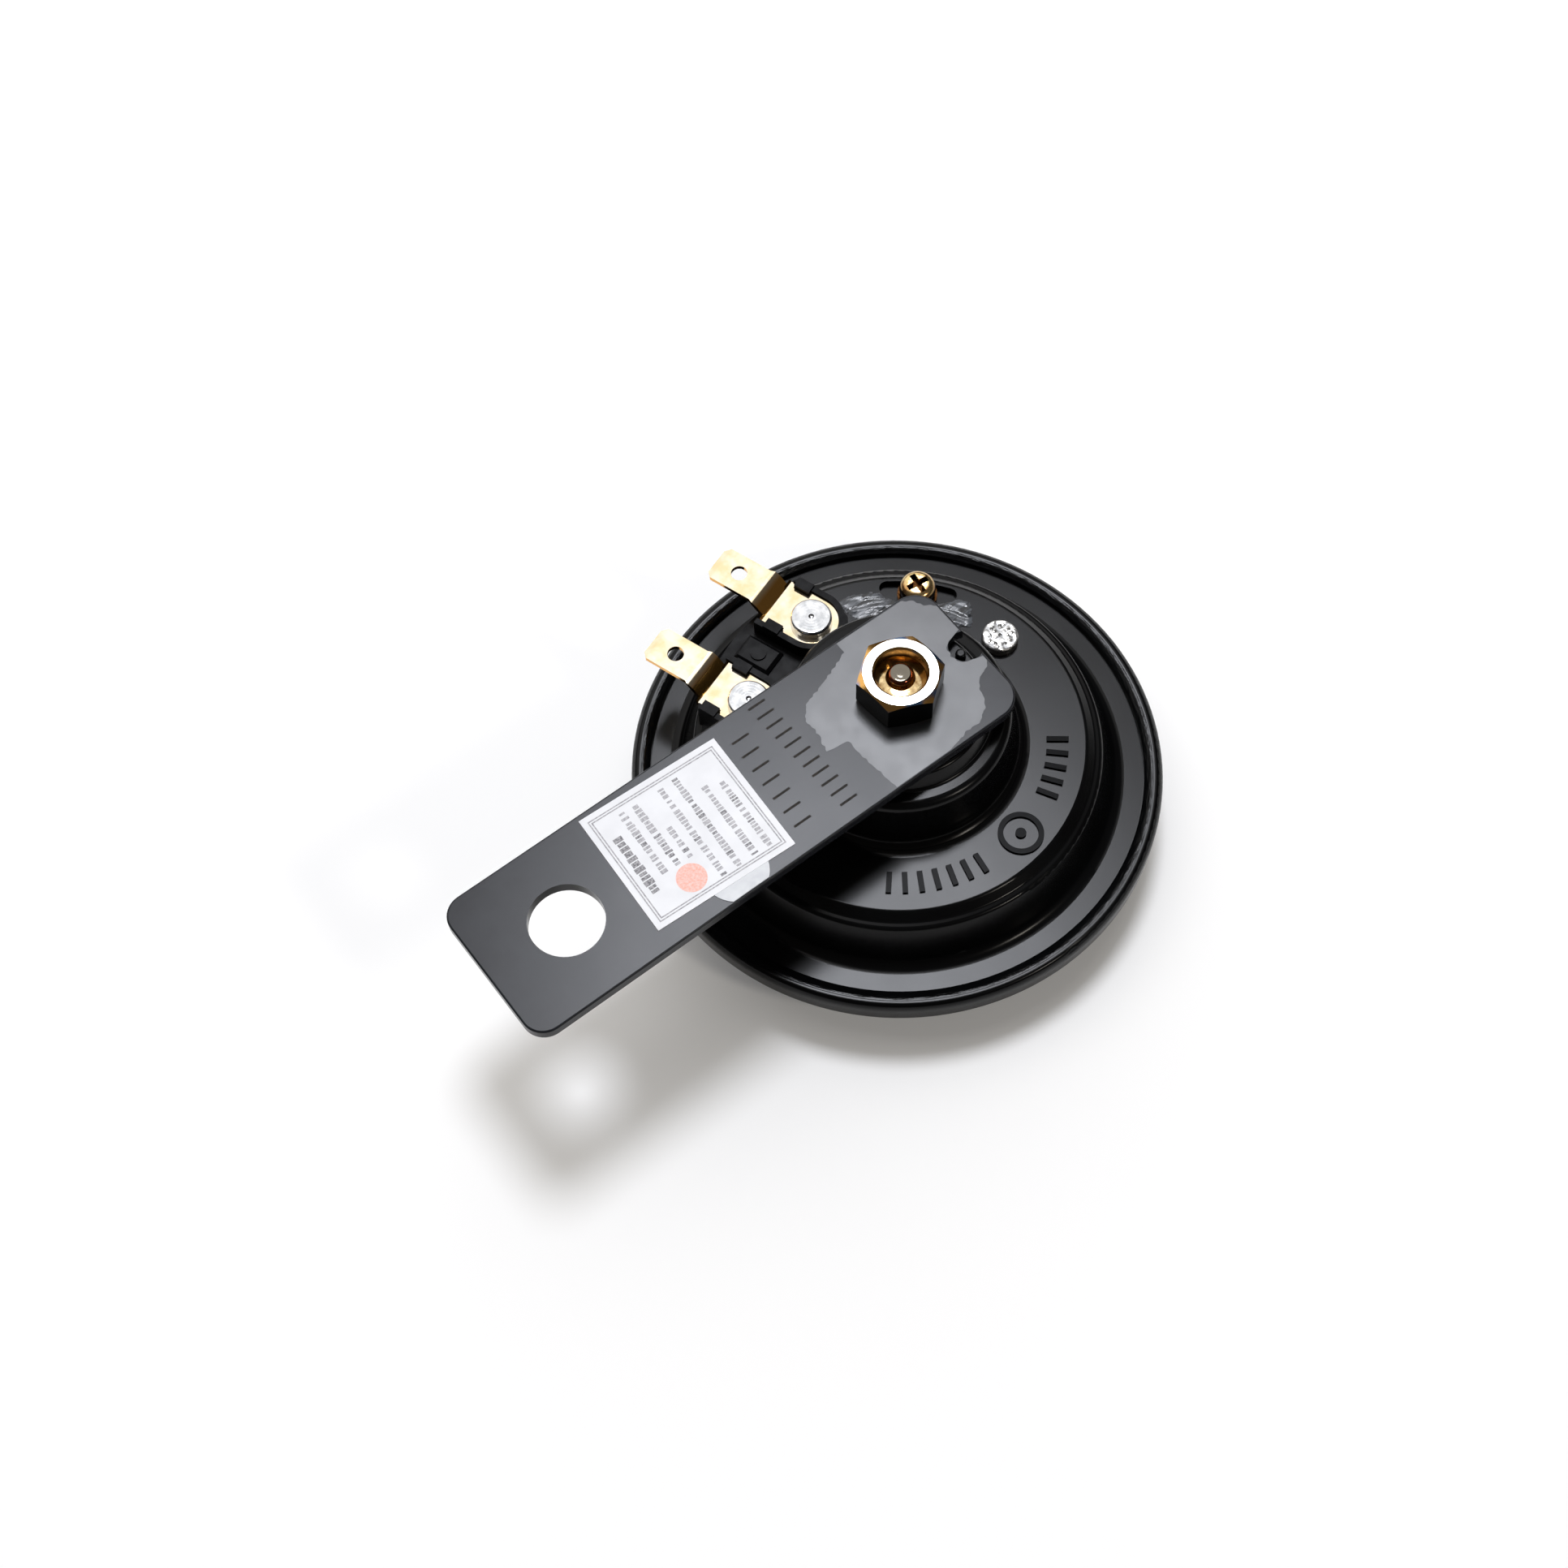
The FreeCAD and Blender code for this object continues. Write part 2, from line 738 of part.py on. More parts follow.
def bracket():
    # Flat steel strip with a stud hole, a mounting hole and a notch that the housing's pip keys
    strip = bracket_outline(seat_z, bracket_top)
    rims = [e for e in strip.Edges if abs(e.tangentAt(e.FirstParameter).z) < 0.01]
    strip = strip.makeFillet(bracket_edge_round, rims)
    low, high = seat_z - past, bracket_top + past
    cuts = [cylinder(stud_hole_radius, low, high),
            cylinder(hole_radius, low, high, Vector(-hole_distance, 0, 0)),
            cylinder(notch_radius, low, high, Vector(notch_x, 0, 0))]
    return strip.cut(cuts)


def mount_nut():
    # Hexagon with both ends turned to a cone, and a countersunk bore
    nut = hexagon(nut_width, bracket_top, nut_top, nut_angle)
    corner = nut_width / math.sqrt(3)
    drop = (corner - nut_chamfer_radius) * math.tan(math.radians(nut_chamfer_angle))
    turned = body([
        (nut_chamfer_radius, bracket_top, 0),
        (corner, bracket_top + drop, 0),
        (corner, nut_top - drop, 0),
        (nut_chamfer_radius, nut_top, 0),
    ])
    bore_radius = stud_radius + stud_clearance
    cuts = [cylinder(bore_radius, bracket_top - past, nut_top + past)]
    for z, direction in ((bracket_top, 1), (nut_top, -1)):
        cuts.append(Part.makeCone(bore_radius + nut_sink, bore_radius, nut_sink, Vector(0, 0, z),
                                  Vector(0, 0, direction)))
    return nut.common(turned).cut(cuts)


def label_body(z_low, z_high, margin=0.0):
    half_x = label_length / 2 + margin
    half_y = label_width / 2 + margin
    label = box(-half_x, half_x, -half_y, half_y, z_low, z_high)
    label.rotate(Vector(0, 0, 0), Vector(0, 0, 1), label_angle)
    label.translate(Vector(-label_distance, label_side, 0))
    return label


def bracket_label():
    return label_body(bracket_top, bracket_top + label_thickness)


def seal_sticker():
    # Round sticker with the part that the label covers left out
    centre = Vector(-seal_distance, seal_side, 0)
    disc = cylinder(seal_radius, bracket_top, bracket_top + label_thickness, centre)
    low, high = bracket_top - past, bracket_top + past
    disc = disc.cut(label_body(low, high, seal_gap))
    return disc.common(bracket_outline(low, high, seal_edge_margin))


# Terminals

def palm_outline(z_low, z_high, margin=0.0):
    # Plate with a round end about the rivet and straight sides out to the joggle
    half = palm_width / 2 + margin
    plate = box(0, palm_length + margin, -half, half, z_low, z_high)
    return plate.fuse(cylinder(half, z_low, z_high)).removeSplitter()


def terminal_strip():
    # Bent strip: flat over the palm, up the joggle and flat again to the tip, wider than the plate
    root = palm_length + joggle_run
    side_path = [
        (-palm_width, palm_bottom, 0),
        (palm_length, palm_bottom, joggle_bend),
        (root, blade_bottom, joggle_bend + tab_thickness),
        (root + tab_length, blade_bottom, 0),
    ]
    face = Part.Face(Part.Wire(Part.__sortEdges__(section_edges(side_path, tab_thickness))))
    face.translate(Vector(0, -palm_width, 0))
    return face.extrude(Vector(0, 2 * palm_width, 0))


def terminal_plan(low, high):
    root = palm_length + joggle_run
    taper = root + tab_root_taper
    tip = root + tab_length
    corner = tip - tab_tip_corner
    root_half, half = tab_root_width / 2, tab_width / 2
    one_side = [(0, root_half), (root, root_half), (taper, half), (corner, half)]
    one_side.append((tip, half - tab_tip_corner))
    blade = one_side + [(x, -y) for x, y in reversed(one_side)]
    return palm_outline(low, high).fuse(prism(blade, low, high))


def terminal(index):
    # Plated push-on tab: riveted palm with two side notches, joggle, and a bevelled blade
    tip = palm_length + joggle_run + tab_length
    low, high = palm_bottom - past, blade_top + past
    cuts = [cylinder(tab_hole_radius, low, high, Vector(tip - tab_hole_distance, 0, 0)),
            cylinder(rivet_shank_radius + rivet_hole_clearance, low, high)]
    start = palm_notch_start
    for side in (-1, 1):
        y_low, y_high = sorted((side * (palm_width / 2 - palm_notch_depth), side * palm_width))
        cuts.append(box(start, start + palm_notch_length, y_low, y_high, low, high))
    for z, depth in ((blade_bottom, tab_tip_bevel_depth), (blade_top, -tab_tip_bevel_depth)):
        corners = [Vector(tip, -palm_width, z), Vector(tip - tab_tip_bevel, -palm_width, z),
                   Vector(tip, -palm_width, z + depth)]
        wedge = Part.Face(Part.makePolygon(corners + corners[:1]))
        cuts.append(wedge.extrude(Vector(0, 2 * palm_width, 0)))
    plate = terminal_strip().common(terminal_plan(low, high)).cut(cuts).removeSplitter()
    plate.translate(terminal_point(index))
    return from_terminal_frame(plate)


def terminal_pad(index):
    # Seat under one terminal, with a wall round its end and posts in its notches
    low, high = plateau_z - block_skirt, pad_wall_top
    seat_half = palm_width / 2 + palm_clearance
    outer_half = seat_half + pad_wall
    end = palm_length + pad_overhang
    pad = box(0, end, -outer_half, outer_half, low, high)
    pad = pad.fuse(cylinder(outer_half, low, high)).removeSplitter()
    seat = box(0, end + past, -seat_half, seat_half, palm_bottom, high + past)
    pad = pad.cut(seat.fuse(cylinder(seat_half, palm_bottom, high + past)))
    start = palm_notch_start + palm_clearance
    stop = palm_notch_start + palm_notch_length - palm_clearance
    inner = palm_width / 2 - palm_notch_depth + palm_clearance
    for side in (-1, 1):
        y_low, y_high = sorted((side * inner, side * outer_half))
        pad = pad.fuse(box(start, stop, y_low, y_high, palm_bottom - embed, high + post_rise))
    pad.translate(terminal_point(index))
    return pad


def terminal_block():
    # Moulded block that carries both terminals, fitted to the housing's step
    inner_x = terminal_distance - palm_width / 2
    low = plateau_z - block_skirt
    base = rounded_box(inner_x, block_edge_radius, -block_half_width, block_half_width, low,
                       plateau_z + base_height, base_corner)
    platform = box(platform_distance - platform_length / 2, platform_distance + platform_length / 2,
                   -platform_width / 2, platform_width / 2, plateau_z, platform_top)
    rims = [e for e in platform.Edges if e.CenterOfMass.z > platform_top - 0.01]
    platform = platform.makeChamfer(platform_chamfer, rims)
    boss = cylinder(platform_boss_radius, plateau_z, platform_top + platform_boss_height,
                    Vector(platform_distance, 0, 0))
    block = base.fuse([platform, boss, terminal_pad(0), terminal_pad(1)])
    block = from_terminal_frame(block.removeSplitter())
    block = block.cut(body([(rim_radius, flange_bottom, 0)] + housing_path()))
    block = block.common(cylinder(block_edge_radius, low, blade_top))
    legs = [cylinder(sleeve_radius, ceiling_z, plateau_z + embed, terminal_place(i)) for i in range(2)]
    legs.append(cylinder(platform_boss_radius, insulator_bottom, plateau_z + embed, locating_pin_place()))
    bore_radius = rivet_shank_radius + rivet_hole_clearance
    bores = [cylinder(bore_radius, ceiling_z - past, palm_top, terminal_place(i)) for i in range(2)]
    return block.fuse(legs).cut(bores).removeSplitter()


def terminal_insulator():
    inner = terminal_distance - insulator_length / 2
    outer = terminal_distance + insulator_length / 2
    half = terminal_spacing / 2 + insulator_side_margin
    low, high = insulator_bottom - past, ceiling_z + past
    plate = rounded_box(inner, outer, -half, half, insulator_bottom, ceiling_z, insulator_corner)
    bore_radius = rivet_shank_radius + rivet_hole_clearance
    bores = [cylinder(bore_radius, low, high, terminal_point(i)) for i in range(2)]
    pin_radius = platform_boss_radius + sleeve_clearance
    bores.append(cylinder(pin_radius, low, high, Vector(platform_distance, 0, 0)))
    return from_terminal_frame(plate.cut(bores))


def terminal_rivet(index):
    return rivet(palm_top, tag_bottom, terminal_place(index))


def tag_end(index):
    side = (-1, 1)[index]
    end = terminal_point(index) + Vector(0, side * (tag_length - tag_width / 2), 0)
    return place_from_terminal_frame(end)


def connection_tag(index):
    centre = terminal_place(index)
    tag = capsule(centre, tag_end(index), tag_width, tag_bottom, insulator_bottom)
    tag = tag.fuse(cylinder(tag_radius, tag_bottom, insulator_bottom, centre))
    bore_radius = rivet_shank_radius + rivet_hole_clearance
    bore = cylinder(bore_radius, tag_bottom - past, insulator_bottom + past, centre)
    return tag.cut(bore).removeSplitter()


# Contact breaker

def breaker_place():
    return polar(breaker_radius, breaker_angle)


def contact_place():
    return polar(contact_radius, contact_angle)


def breaker_bore(shape, z_low, z_high):
    bore = cylinder(breaker_shank_radius + rivet_hole_clearance, z_low - past, z_high + past, breaker_place())
    return shape.cut(bore).removeSplitter()


def contact_carrier():
    # Lower plate with the fixed point, pressed down by the adjusting screw
    arm = capsule(breaker_place(), adjuster_place(), carrier_width, carrier_bottom, carrier_top)
    ear = capsule(adjuster_place(), contact_place(), carrier_width, carrier_bottom, carrier_top)
    return breaker_bore(arm.fuse(ear), carrier_bottom, carrier_top)


def contact_spring():
    # Upper leaf with the moving point, and a tongue that reaches over the armature's shoulder
    leaf = capsule(breaker_place(), contact_place(), spring_width, spring_bottom, spring_top)
    tongue = capsule(contact_place(), polar(tongue_radius, contact_angle), spring_tongue_width,
                     spring_bottom, spring_top)
    return breaker_bore(leaf.fuse(tongue), spring_bottom, spring_top)


def contact_point(z_low, z_high):
    return cylinder(point_radius, z_low, z_high, contact_place())


def breaker_insulators():
    # Two washers apart, over and under the spring leaf
    place = breaker_place()
    upper = cylinder(breaker_washer_radius, spring_top, ceiling_z, place)
    lower = cylinder(breaker_washer_radius, carrier_top, spring_bottom, place)
    upper = breaker_bore(upper, spring_top, ceiling_z)
    lower = breaker_bore(lower, carrier_top, spring_bottom)
    return Part.makeCompound([upper, lower])


def breaker_washer():
    low = carrier_bottom - breaker_washer_thickness
    washer = cylinder(breaker_washer_radius, low, carrier_bottom, breaker_place())
    return breaker_bore(washer, low, carrier_bottom)


def breaker_rivet():
    # Head staked with a ring of dimples
    place = breaker_place()
    top = plateau_z + breaker_head_height
    head = cylinder(breaker_head_radius, plateau_z, top, place)
    head = head.makeFillet(breaker_head_round, top_rim(head, top))
    dimples = [Part.makeSphere(breaker_knurl_radius, place + Vector(0, 0, top))]
    for i in range(breaker_knurl_count):
        spot = place + polar(breaker_knurl_ring, 360.0 * i / breaker_knurl_count, top)
        dimples.append(Part.makeSphere(breaker_knurl_radius, spot))
    tail_top = carrier_bottom - breaker_washer_thickness
    shank = cylinder(breaker_shank_radius, tail_top, plateau_z, place)
    tail = cylinder(rivet_tail_radius, tail_top - rivet_tail_height, tail_top, place)
    return head.cut(dimples).fuse([shank, tail]).removeSplitter()


# Adjuster

def adjuster_bush():
    place = adjuster_place()
    collar = cylinder(bush_radius, plateau_z, plateau_z + bush_height, place)
    shank = cylinder(bush_shank_radius, plateau_z - bush_shank_depth, plateau_z, place)
    bore = cylinder(adjuster_shank_radius + bush_clearance, plateau_z - bush_shank_depth - past,
                    plateau_z + bush_height + past, place)
    return collar.fuse(shank).cut(bore).removeSplitter()


def adjusting_screw():
    # Pan head with a cross recess, set a little over its bush
    place = adjuster_place()
    low = plateau_z + adjuster_head_rise
    top = low + adjuster_head_height
    head = cylinder(adjuster_head_radius, low, top, place)
    head = head.makeFillet(adjuster_head_round, top_rim(head, top))
    reach, half = adjuster_cross_length / 2, adjuster_cross_width / 2
    for turn in (adjuster_cross_turn, adjuster_cross_turn + 90):
        slot = box(-reach, reach, -half, half, top - adjuster_cross_depth, top + past)
        slot.rotate(Vector(0, 0, 0), Vector(0, 0, 1), turn)
        slot.translate(place)
        head = head.cut(slot)
    shank = cylinder(adjuster_shank_radius, carrier_top, low, place)
    return head.fuse(shank).removeSplitter()


def adjuster_sealant():
    # Brushed lacquer that locks the adjuster and ends at the terminal block, as steps outwards
    # and around from the adjuster's place
    outline = [(-1.9, 33.5), (0.3, 30.5), (1.6, 17.5), (1.3, 13.5), (0.2, 10.5), (0.2, -9.5), (1.5, -13.5),
               (2.1, -17.5), (0.4, -20.5), (-2.5, -23.0), (-3.5, -18.5), (-3.9, -9.5), (-4.2, 0.5),
               (-3.8, 11.5), (-3.4, 21.5)]
    curve = Part.BSplineCurve()
    points = []
    for out, around in outline:
        points.append(polar(adjuster_radius + out, adjuster_angle + around, plateau_z))
    curve.interpolate(points, PeriodicFlag=True)
    patch = Part.Face(Part.Wire(curve.toShape())).extrude(Vector(0, 0, sealant_thickness))
    half = block_half_width + sealant_gap
    beside_block = box(0, rim_radius, -half, half, plateau_z - past, plateau_z + past)
    collar = cylinder(bush_radius, plateau_z - past, plateau_z + past, adjuster_place())
    return patch.cut([from_terminal_frame(beside_block), collar])


# Leads inside the housing

def coil_lead(index):
    # One end of the winding goes under the second tag, the other onto the spring leaf
    leaf_joint = polar(breaker_radius - breaker_washer_radius - lead_joint_margin, leaf_joint_angle)
    z_run = (tag_bottom - wire_radius, spring_top + wire_radius)[index]
    end = (tag_end(1), leaf_joint)[index]
    start = lead_exit(index) + Vector(0, 0, bobbin_bottom + bobbin_flange)
    turn = lead_exit(index) + Vector(0, 0, z_run)
    return wire_run([start, turn, end + Vector(0, 0, z_run)])


def supply_lead():
    start = tag_end(0) + Vector(0, 0, tag_bottom - wire_radius)
    end = adjuster_place() + Vector(-supply_lead_shift, supply_lead_shift, carrier_bottom - wire_radius)
    bend = Vector(start.x + supply_lead_shift, start.y - wire_radius, end.z)
    return wire_run([start, bend, end])


def main():
    spring_side = spring_bottom - lower_insulator_thickness / 2
    parts = {
        "front_cover": front_cover(),
        "front_gasket": gasket(cover_flange_top),
        "diaphragm": diaphragm(),
        "rear_gasket": gasket(diaphragm_top),
        "rear_housing": rear_housing(),
        "core_stud": core_stud(),
        "coil_bobbin": coil_bobbin(),
        "coil_winding": coil_winding(),
        "armature": armature(),
        "front_washer": front_washer(),
        "tone_disc_spacer": tone_disc_spacer(),
        "tone_disc": tone_disc(),
        "armature_nut": armature_nut(),
        "bracket": bracket(),
        "mount_nut": mount_nut(),
        "bracket_label": bracket_label(),
        "seal_sticker": seal_sticker(),
        "terminal_block": terminal_block(),
        "terminal_insulator": terminal_insulator(),
        "contact_carrier": contact_carrier(),
        "contact_spring": contact_spring(),
        "fixed_contact_point": contact_point(carrier_top, spring_side),
        "moving_contact_point": contact_point(spring_side, spring_bottom),
        "breaker_insulators": breaker_insulators(),
        "breaker_washer": breaker_washer(),
        "breaker_rivet": breaker_rivet(),
        "adjuster_bush": adjuster_bush(),
        "adjusting_screw": adjusting_screw(),
        "adjuster_sealant": adjuster_sealant(),
        "coil_lead_1": coil_lead(0),
        "coil_lead_2": coil_lead(1),
        "supply_lead": supply_lead(),
    }
    for index in range(2):
        number = index + 1
        parts["terminal_%d" % number] = terminal(index)
        parts["terminal_rivet_%d" % number] = terminal_rivet(index)
        parts["connection_tag_%d" % number] = connection_tag(index)
    os.makedirs("parts", exist_ok=True)
    for name, shape in parts.items():
        shape.exportStep("parts/%s.step" % name)
        low, high = shape.BoundBox.ZMin, shape.BoundBox.ZMax
        print("%-22s valid %s solids %d volume %.1f z %.2f to %.2f" % (
            name, shape.isValid(), len(shape.Solids), shape.Volume, low, high))


main()
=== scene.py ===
import bpy
import json
import math
import random
from mathutils import Matrix, Vector, noise
from mathutils.bvhtree import BVHTree


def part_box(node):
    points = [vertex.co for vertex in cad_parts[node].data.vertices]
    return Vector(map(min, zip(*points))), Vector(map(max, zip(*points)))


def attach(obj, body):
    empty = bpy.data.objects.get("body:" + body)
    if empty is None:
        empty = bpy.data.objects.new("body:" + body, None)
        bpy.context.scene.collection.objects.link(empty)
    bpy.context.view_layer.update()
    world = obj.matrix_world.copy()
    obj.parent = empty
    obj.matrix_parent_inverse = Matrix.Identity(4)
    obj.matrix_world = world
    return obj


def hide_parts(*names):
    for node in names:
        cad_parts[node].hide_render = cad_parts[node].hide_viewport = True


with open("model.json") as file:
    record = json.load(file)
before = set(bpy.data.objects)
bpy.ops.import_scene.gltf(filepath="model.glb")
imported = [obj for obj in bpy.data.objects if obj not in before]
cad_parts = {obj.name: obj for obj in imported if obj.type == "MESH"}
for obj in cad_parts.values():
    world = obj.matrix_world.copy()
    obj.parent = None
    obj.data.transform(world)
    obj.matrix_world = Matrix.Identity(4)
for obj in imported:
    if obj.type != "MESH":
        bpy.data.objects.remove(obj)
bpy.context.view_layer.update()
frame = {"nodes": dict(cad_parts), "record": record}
nodes = frame["nodes"]
mm = 0.001  # in metres

# the horn lies sound side down, the bracket's free end towards -X
print("frame loaded:", len(nodes), "nodes")


def colour(hexText):
    # sRGB hex to linear, opaque
    channels = [int(hexText[i:i + 2], 16) / 255 for i in (1, 3, 5)]
    linear = [c / 12.92 if c <= 0.04045 else ((c + 0.055) / 1.055) ** 2.4 for c in channels]
    return (*linear, 1.0)


def add(tree, kind, values=None, **settings):
    # one shader node: settings are its properties, values its sockets, given as numbers or as links
    node = tree.nodes.new("ShaderNode" + kind)
    for name, value in settings.items():
        setattr(node, name, value)
    for key, value in (values or {}).items():
        if isinstance(value, bpy.types.NodeSocket):
            tree.links.new(value, node.inputs[key])
        else:
            node.inputs[key].default_value = value
    return node


def newMaterial(name, roughness, metallic=0.0):
    # a shader, and the row frame's coordinates in millimetres
    material = bpy.data.materials.new(name)
    material.use_nodes = True
    tree = material.node_tree
    tree.nodes.clear()
    shader = add(tree, "BsdfPrincipled", {"Roughness": roughness, "Metallic": metallic})
    add(tree, "OutputMaterial", {"Surface": shader.outputs[0]})
    place = add(tree, "TexCoord").outputs["Object"]
    inMm = add(tree, "VectorMath", {0: place, "Scale": 1 / mm}, operation="SCALE").outputs[0]
    return material, tree, shader, inMm


def cloudy(tree, inMm, size, detail=3.0, low=0.35, high=0.65):
    # soft spots of one real size in mm, from 0 to 1
    spots = add(tree, "TexNoise", {"Vector": inMm, "Scale": 1.0 / size, "Detail": detail})
    return add(tree, "MapRange", {0: spots.outputs[0], 1: low, 2: high}).outputs[0]


def twoTone(tree, shader, factor, atZero, atOne):
    tones = add(tree, "Mix", {0: factor, 6: colour(atZero), 7: colour(atOne)}, data_type="RGBA")
    tree.links.new(tones.outputs[2], shader.inputs["Base Color"])
    return tones


def glossRange(tree, shader, factor, look):
    spread = add(tree, "MapRange", {0: factor, 3: look["roughness"], 4: look["roughnessHigh"]})
    tree.links.new(spread.outputs[0], shader.inputs["Roughness"])


def relief(tree, shader, height, depth):
    # depth is the real height of the relief in mm
    bump = add(tree, "Bump", {"Height": height, "Distance": depth * mm, "Strength": 1.0})
    tree.links.new(bump.outputs[0], shader.inputs["Normal"])
    return bump


def axisRadius(tree, inMm):
    # distance from the upright axis in mm
    flat = add(tree, "VectorMath", {0: inMm, 1: (1.0, 1.0, 0.0)}, operation="MULTIPLY").outputs[0]
    return add(tree, "VectorMath", {0: flat}, operation="LENGTH").outputs["Value"]


def flatness(tree, low, high):
    # 0 on a surface that stands upright, 1 on one that faces up or down
    facing = add(tree, "NewGeometry").outputs["Normal"]
    upward = add(tree, "SeparateXYZ", {0: facing}).outputs[2]
    level = add(tree, "Math", {0: upward}, operation="ABSOLUTE").outputs[0]
    return add(tree, "MapRange", {0: level, 1: low, 2: high}).outputs[0]


leanToward = math.radians(54)  # about the key lamp's compass direction


def leanFace(tree, bump, degrees, share=1.0):
    # leans the shading only, so that flat metal doesn't mirror the key lamp and burn out: a stand-in
    # for a light that isn't known well enough, not a shape
    tilt = math.tan(math.radians(degrees))
    lean = (tilt * math.cos(leanToward), tilt * math.sin(leanToward), 0.0)
    part = add(tree, "VectorMath", {0: lean, "Scale": share}, operation="SCALE").outputs[0]
    facing = add(tree, "NewGeometry").outputs["Normal"]
    both = add(tree, "VectorMath", {0: facing, 1: part}, operation="ADD").outputs[0]
    level = add(tree, "VectorMath", {0: both}, operation="NORMALIZE").outputs[0]
    tree.links.new(level, bump.inputs["Normal"])


def mottledSkin(name, look, metallic=0.0):
    # what the plain finishes share: two tones in soft spots, and a fine grain
    material, tree, shader, inMm = newMaterial(name, look["roughness"], metallic)
    twoTone(tree, shader, cloudy(tree, inMm, look["toneSize"]), look["dark"], look["light"])
    relief(tree, shader, cloudy(tree, inMm, look["grainSize"]), look["grainDepth"])
    return material, tree, shader, inMm


# Painted steel, with sizes in mm here and below

enamelLook = {
    "dark": "#050506", "light": "#08090a", "toneSize": 14.0,
    "roughness": 0.19, "roughnessHigh": 0.215, "specular": 0.138,
    "peelSize": 0.9, "peelDepth": 0.0008,
}


def stovedEnamel(name, look):
    # enamel, sprayed and stoved over pressed steel: satin, with highlights that are blurred and a
    # little wavy, since the coat has an orange peel
    material, tree, shader, inMm = newMaterial(name, look["roughness"])
    tone = cloudy(tree, inMm, look["toneSize"])
    twoTone(tree, shader, tone, look["dark"], look["light"])
    glossRange(tree, shader, tone, look)
    peel = add(tree, "TexNoise", {"Vector": inMm, "Scale": 1.0 / look["peelSize"], "Detail": 1.0})
    relief(tree, shader, peel.outputs[0], look["peelDepth"])
    shader.inputs["Specular IOR Level"].default_value = look["specular"]
    return material, tree, shader, inMm


# raised marks: the height and the radii between which their tops lie
markLook = {"above": 19.95, "inner": 19.8, "outer": 29.9, "specular": 0.02}


def housingEnamel():
    # black enamel, duller over the raised marks, which stay dark in the shine
    material, tree, shader, inMm = stovedEnamel("housingEnamel", enamelLook)
    radius = axisRadius(tree, inMm)
    height = add(tree, "SeparateXYZ", {0: inMm}).outputs[2]
    above = add(tree, "Math", {0: height, 1: markLook["above"]}, operation="GREATER_THAN").outputs[0]
    past = add(tree, "Math", {0: radius, 1: markLook["inner"]}, operation="GREATER_THAN").outputs[0]
    within = add(tree, "Math", {0: radius, 1: markLook["outer"]}, operation="LESS_THAN").outputs[0]
    ring = add(tree, "Math", {0: past, 1: within}, operation="MULTIPLY").outputs[0]
    marks = add(tree, "Math", {0: above, 1: ring}, operation="MULTIPLY").outputs[0]
    shine = add(tree, "MapRange", {0: marks, 3: enamelLook["specular"], 4: markLook["specular"]})
    tree.links.new(shine.outputs[0], shader.inputs["Specular IOR Level"])
    return material


hemLook = {
    # folded hem of the cover: the height above which it lies, its radii, and its rounding
    "above": 9.5, "crest": 41.65, "rim": 43.0, "round": 0.3,
    # wrinkles of its inner edge: where they end and how softly, how deep, how fine out and around
    "ragged": 41.2, "raggedBlend": 0.2, "raggedDepth": 0.15, "grain": 2.4, "run": 0.45,
}


def coverEnamel():
    # black enamel over the crimped hem, whose top looks rounded and whose inner edge looks wrinkled
    material, tree, shader, inMm = stovedEnamel("coverEnamel", enamelLook)
    radius = axisRadius(tree, inMm)
    parts = add(tree, "SeparateXYZ", {0: inMm}).outputs
    out = add(tree, "Math", {0: radius, 1: hemLook["crest"]}, operation="SUBTRACT").outputs[0]
    square = add(tree, "Math", {0: out, 1: out}, operation="MULTIPLY").outputs[0]
    drop = add(tree, "Math", {0: square, 1: -hemLook["round"]}, operation="MULTIPLY").outputs[0]
    rise = hemLook["round"] * (hemLook["rim"] - hemLook["crest"]) ** 2
    level = add(tree, "Math", {0: drop, 1: rise}, operation="ADD").outputs[0]
    angle = add(tree, "Math", {0: parts[1], 1: parts[0]}, operation="ARCTAN2").outputs[0]
    outward = add(tree, "Math", {0: radius, 1: hemLook["grain"]}, operation="MULTIPLY").outputs[0]
    arc = hemLook["rim"] * hemLook["run"]
    onward = add(tree, "Math", {0: angle, 1: arc}, operation="MULTIPLY").outputs[0]
    around = add(tree, "CombineXYZ", {0: outward, 1: onward}).outputs[0]
    wrinkle = add(tree, "TexNoise", {"Vector": around, "Scale": 1.0, "Detail": 3.0}).outputs[0]
    edge = add(tree, "MapRange", {0: radius, 1: hemLook["ragged"] + hemLook["raggedBlend"],
                                  2: hemLook["ragged"] - hemLook["raggedBlend"]}).outputs[0]
    worn = add(tree, "Math", {0: wrinkle, 1: edge}, operation="MULTIPLY").outputs[0]
    rough = add(tree, "Math", {0: worn, 1: hemLook["raggedDepth"]}, operation="MULTIPLY").outputs[0]
    upper = add(tree, "Math", {0: parts[2], 1: hemLook["above"]}, operation="GREATER_THAN").outputs[0]
    height = add(tree, "Math", {0: level, 1: rough}, operation="ADD").outputs[0]
    onHem = add(tree, "Math", {0: height, 1: upper}, operation="MULTIPLY").outputs[0]
    relief(tree, shader, onHem, 1.0)  # the height is in mm already
    return material


bracketLook = {
    "dark": "#1b1c20", "light": "#212327", "toneSize": 9.0,
    "roughness": 0.21, "roughnessHigh": 0.235, "specular": 0.146,
    "peelSize": 0.6, "peelDepth": 0.0009,
}


def bracketEnamel():
    # the same kind of enamel in a bluish grey, with a finer peel
    return stovedEnamel("bracketEnamel", bracketLook)[0]


# Label and seal

labelLook = {
    "dark": "#d6d7da", "light": "#dedfe2", "toneSize": 5.0,
    "roughness": 0.42, "grainSize": 0.35, "grainDepth": 0.002,
}


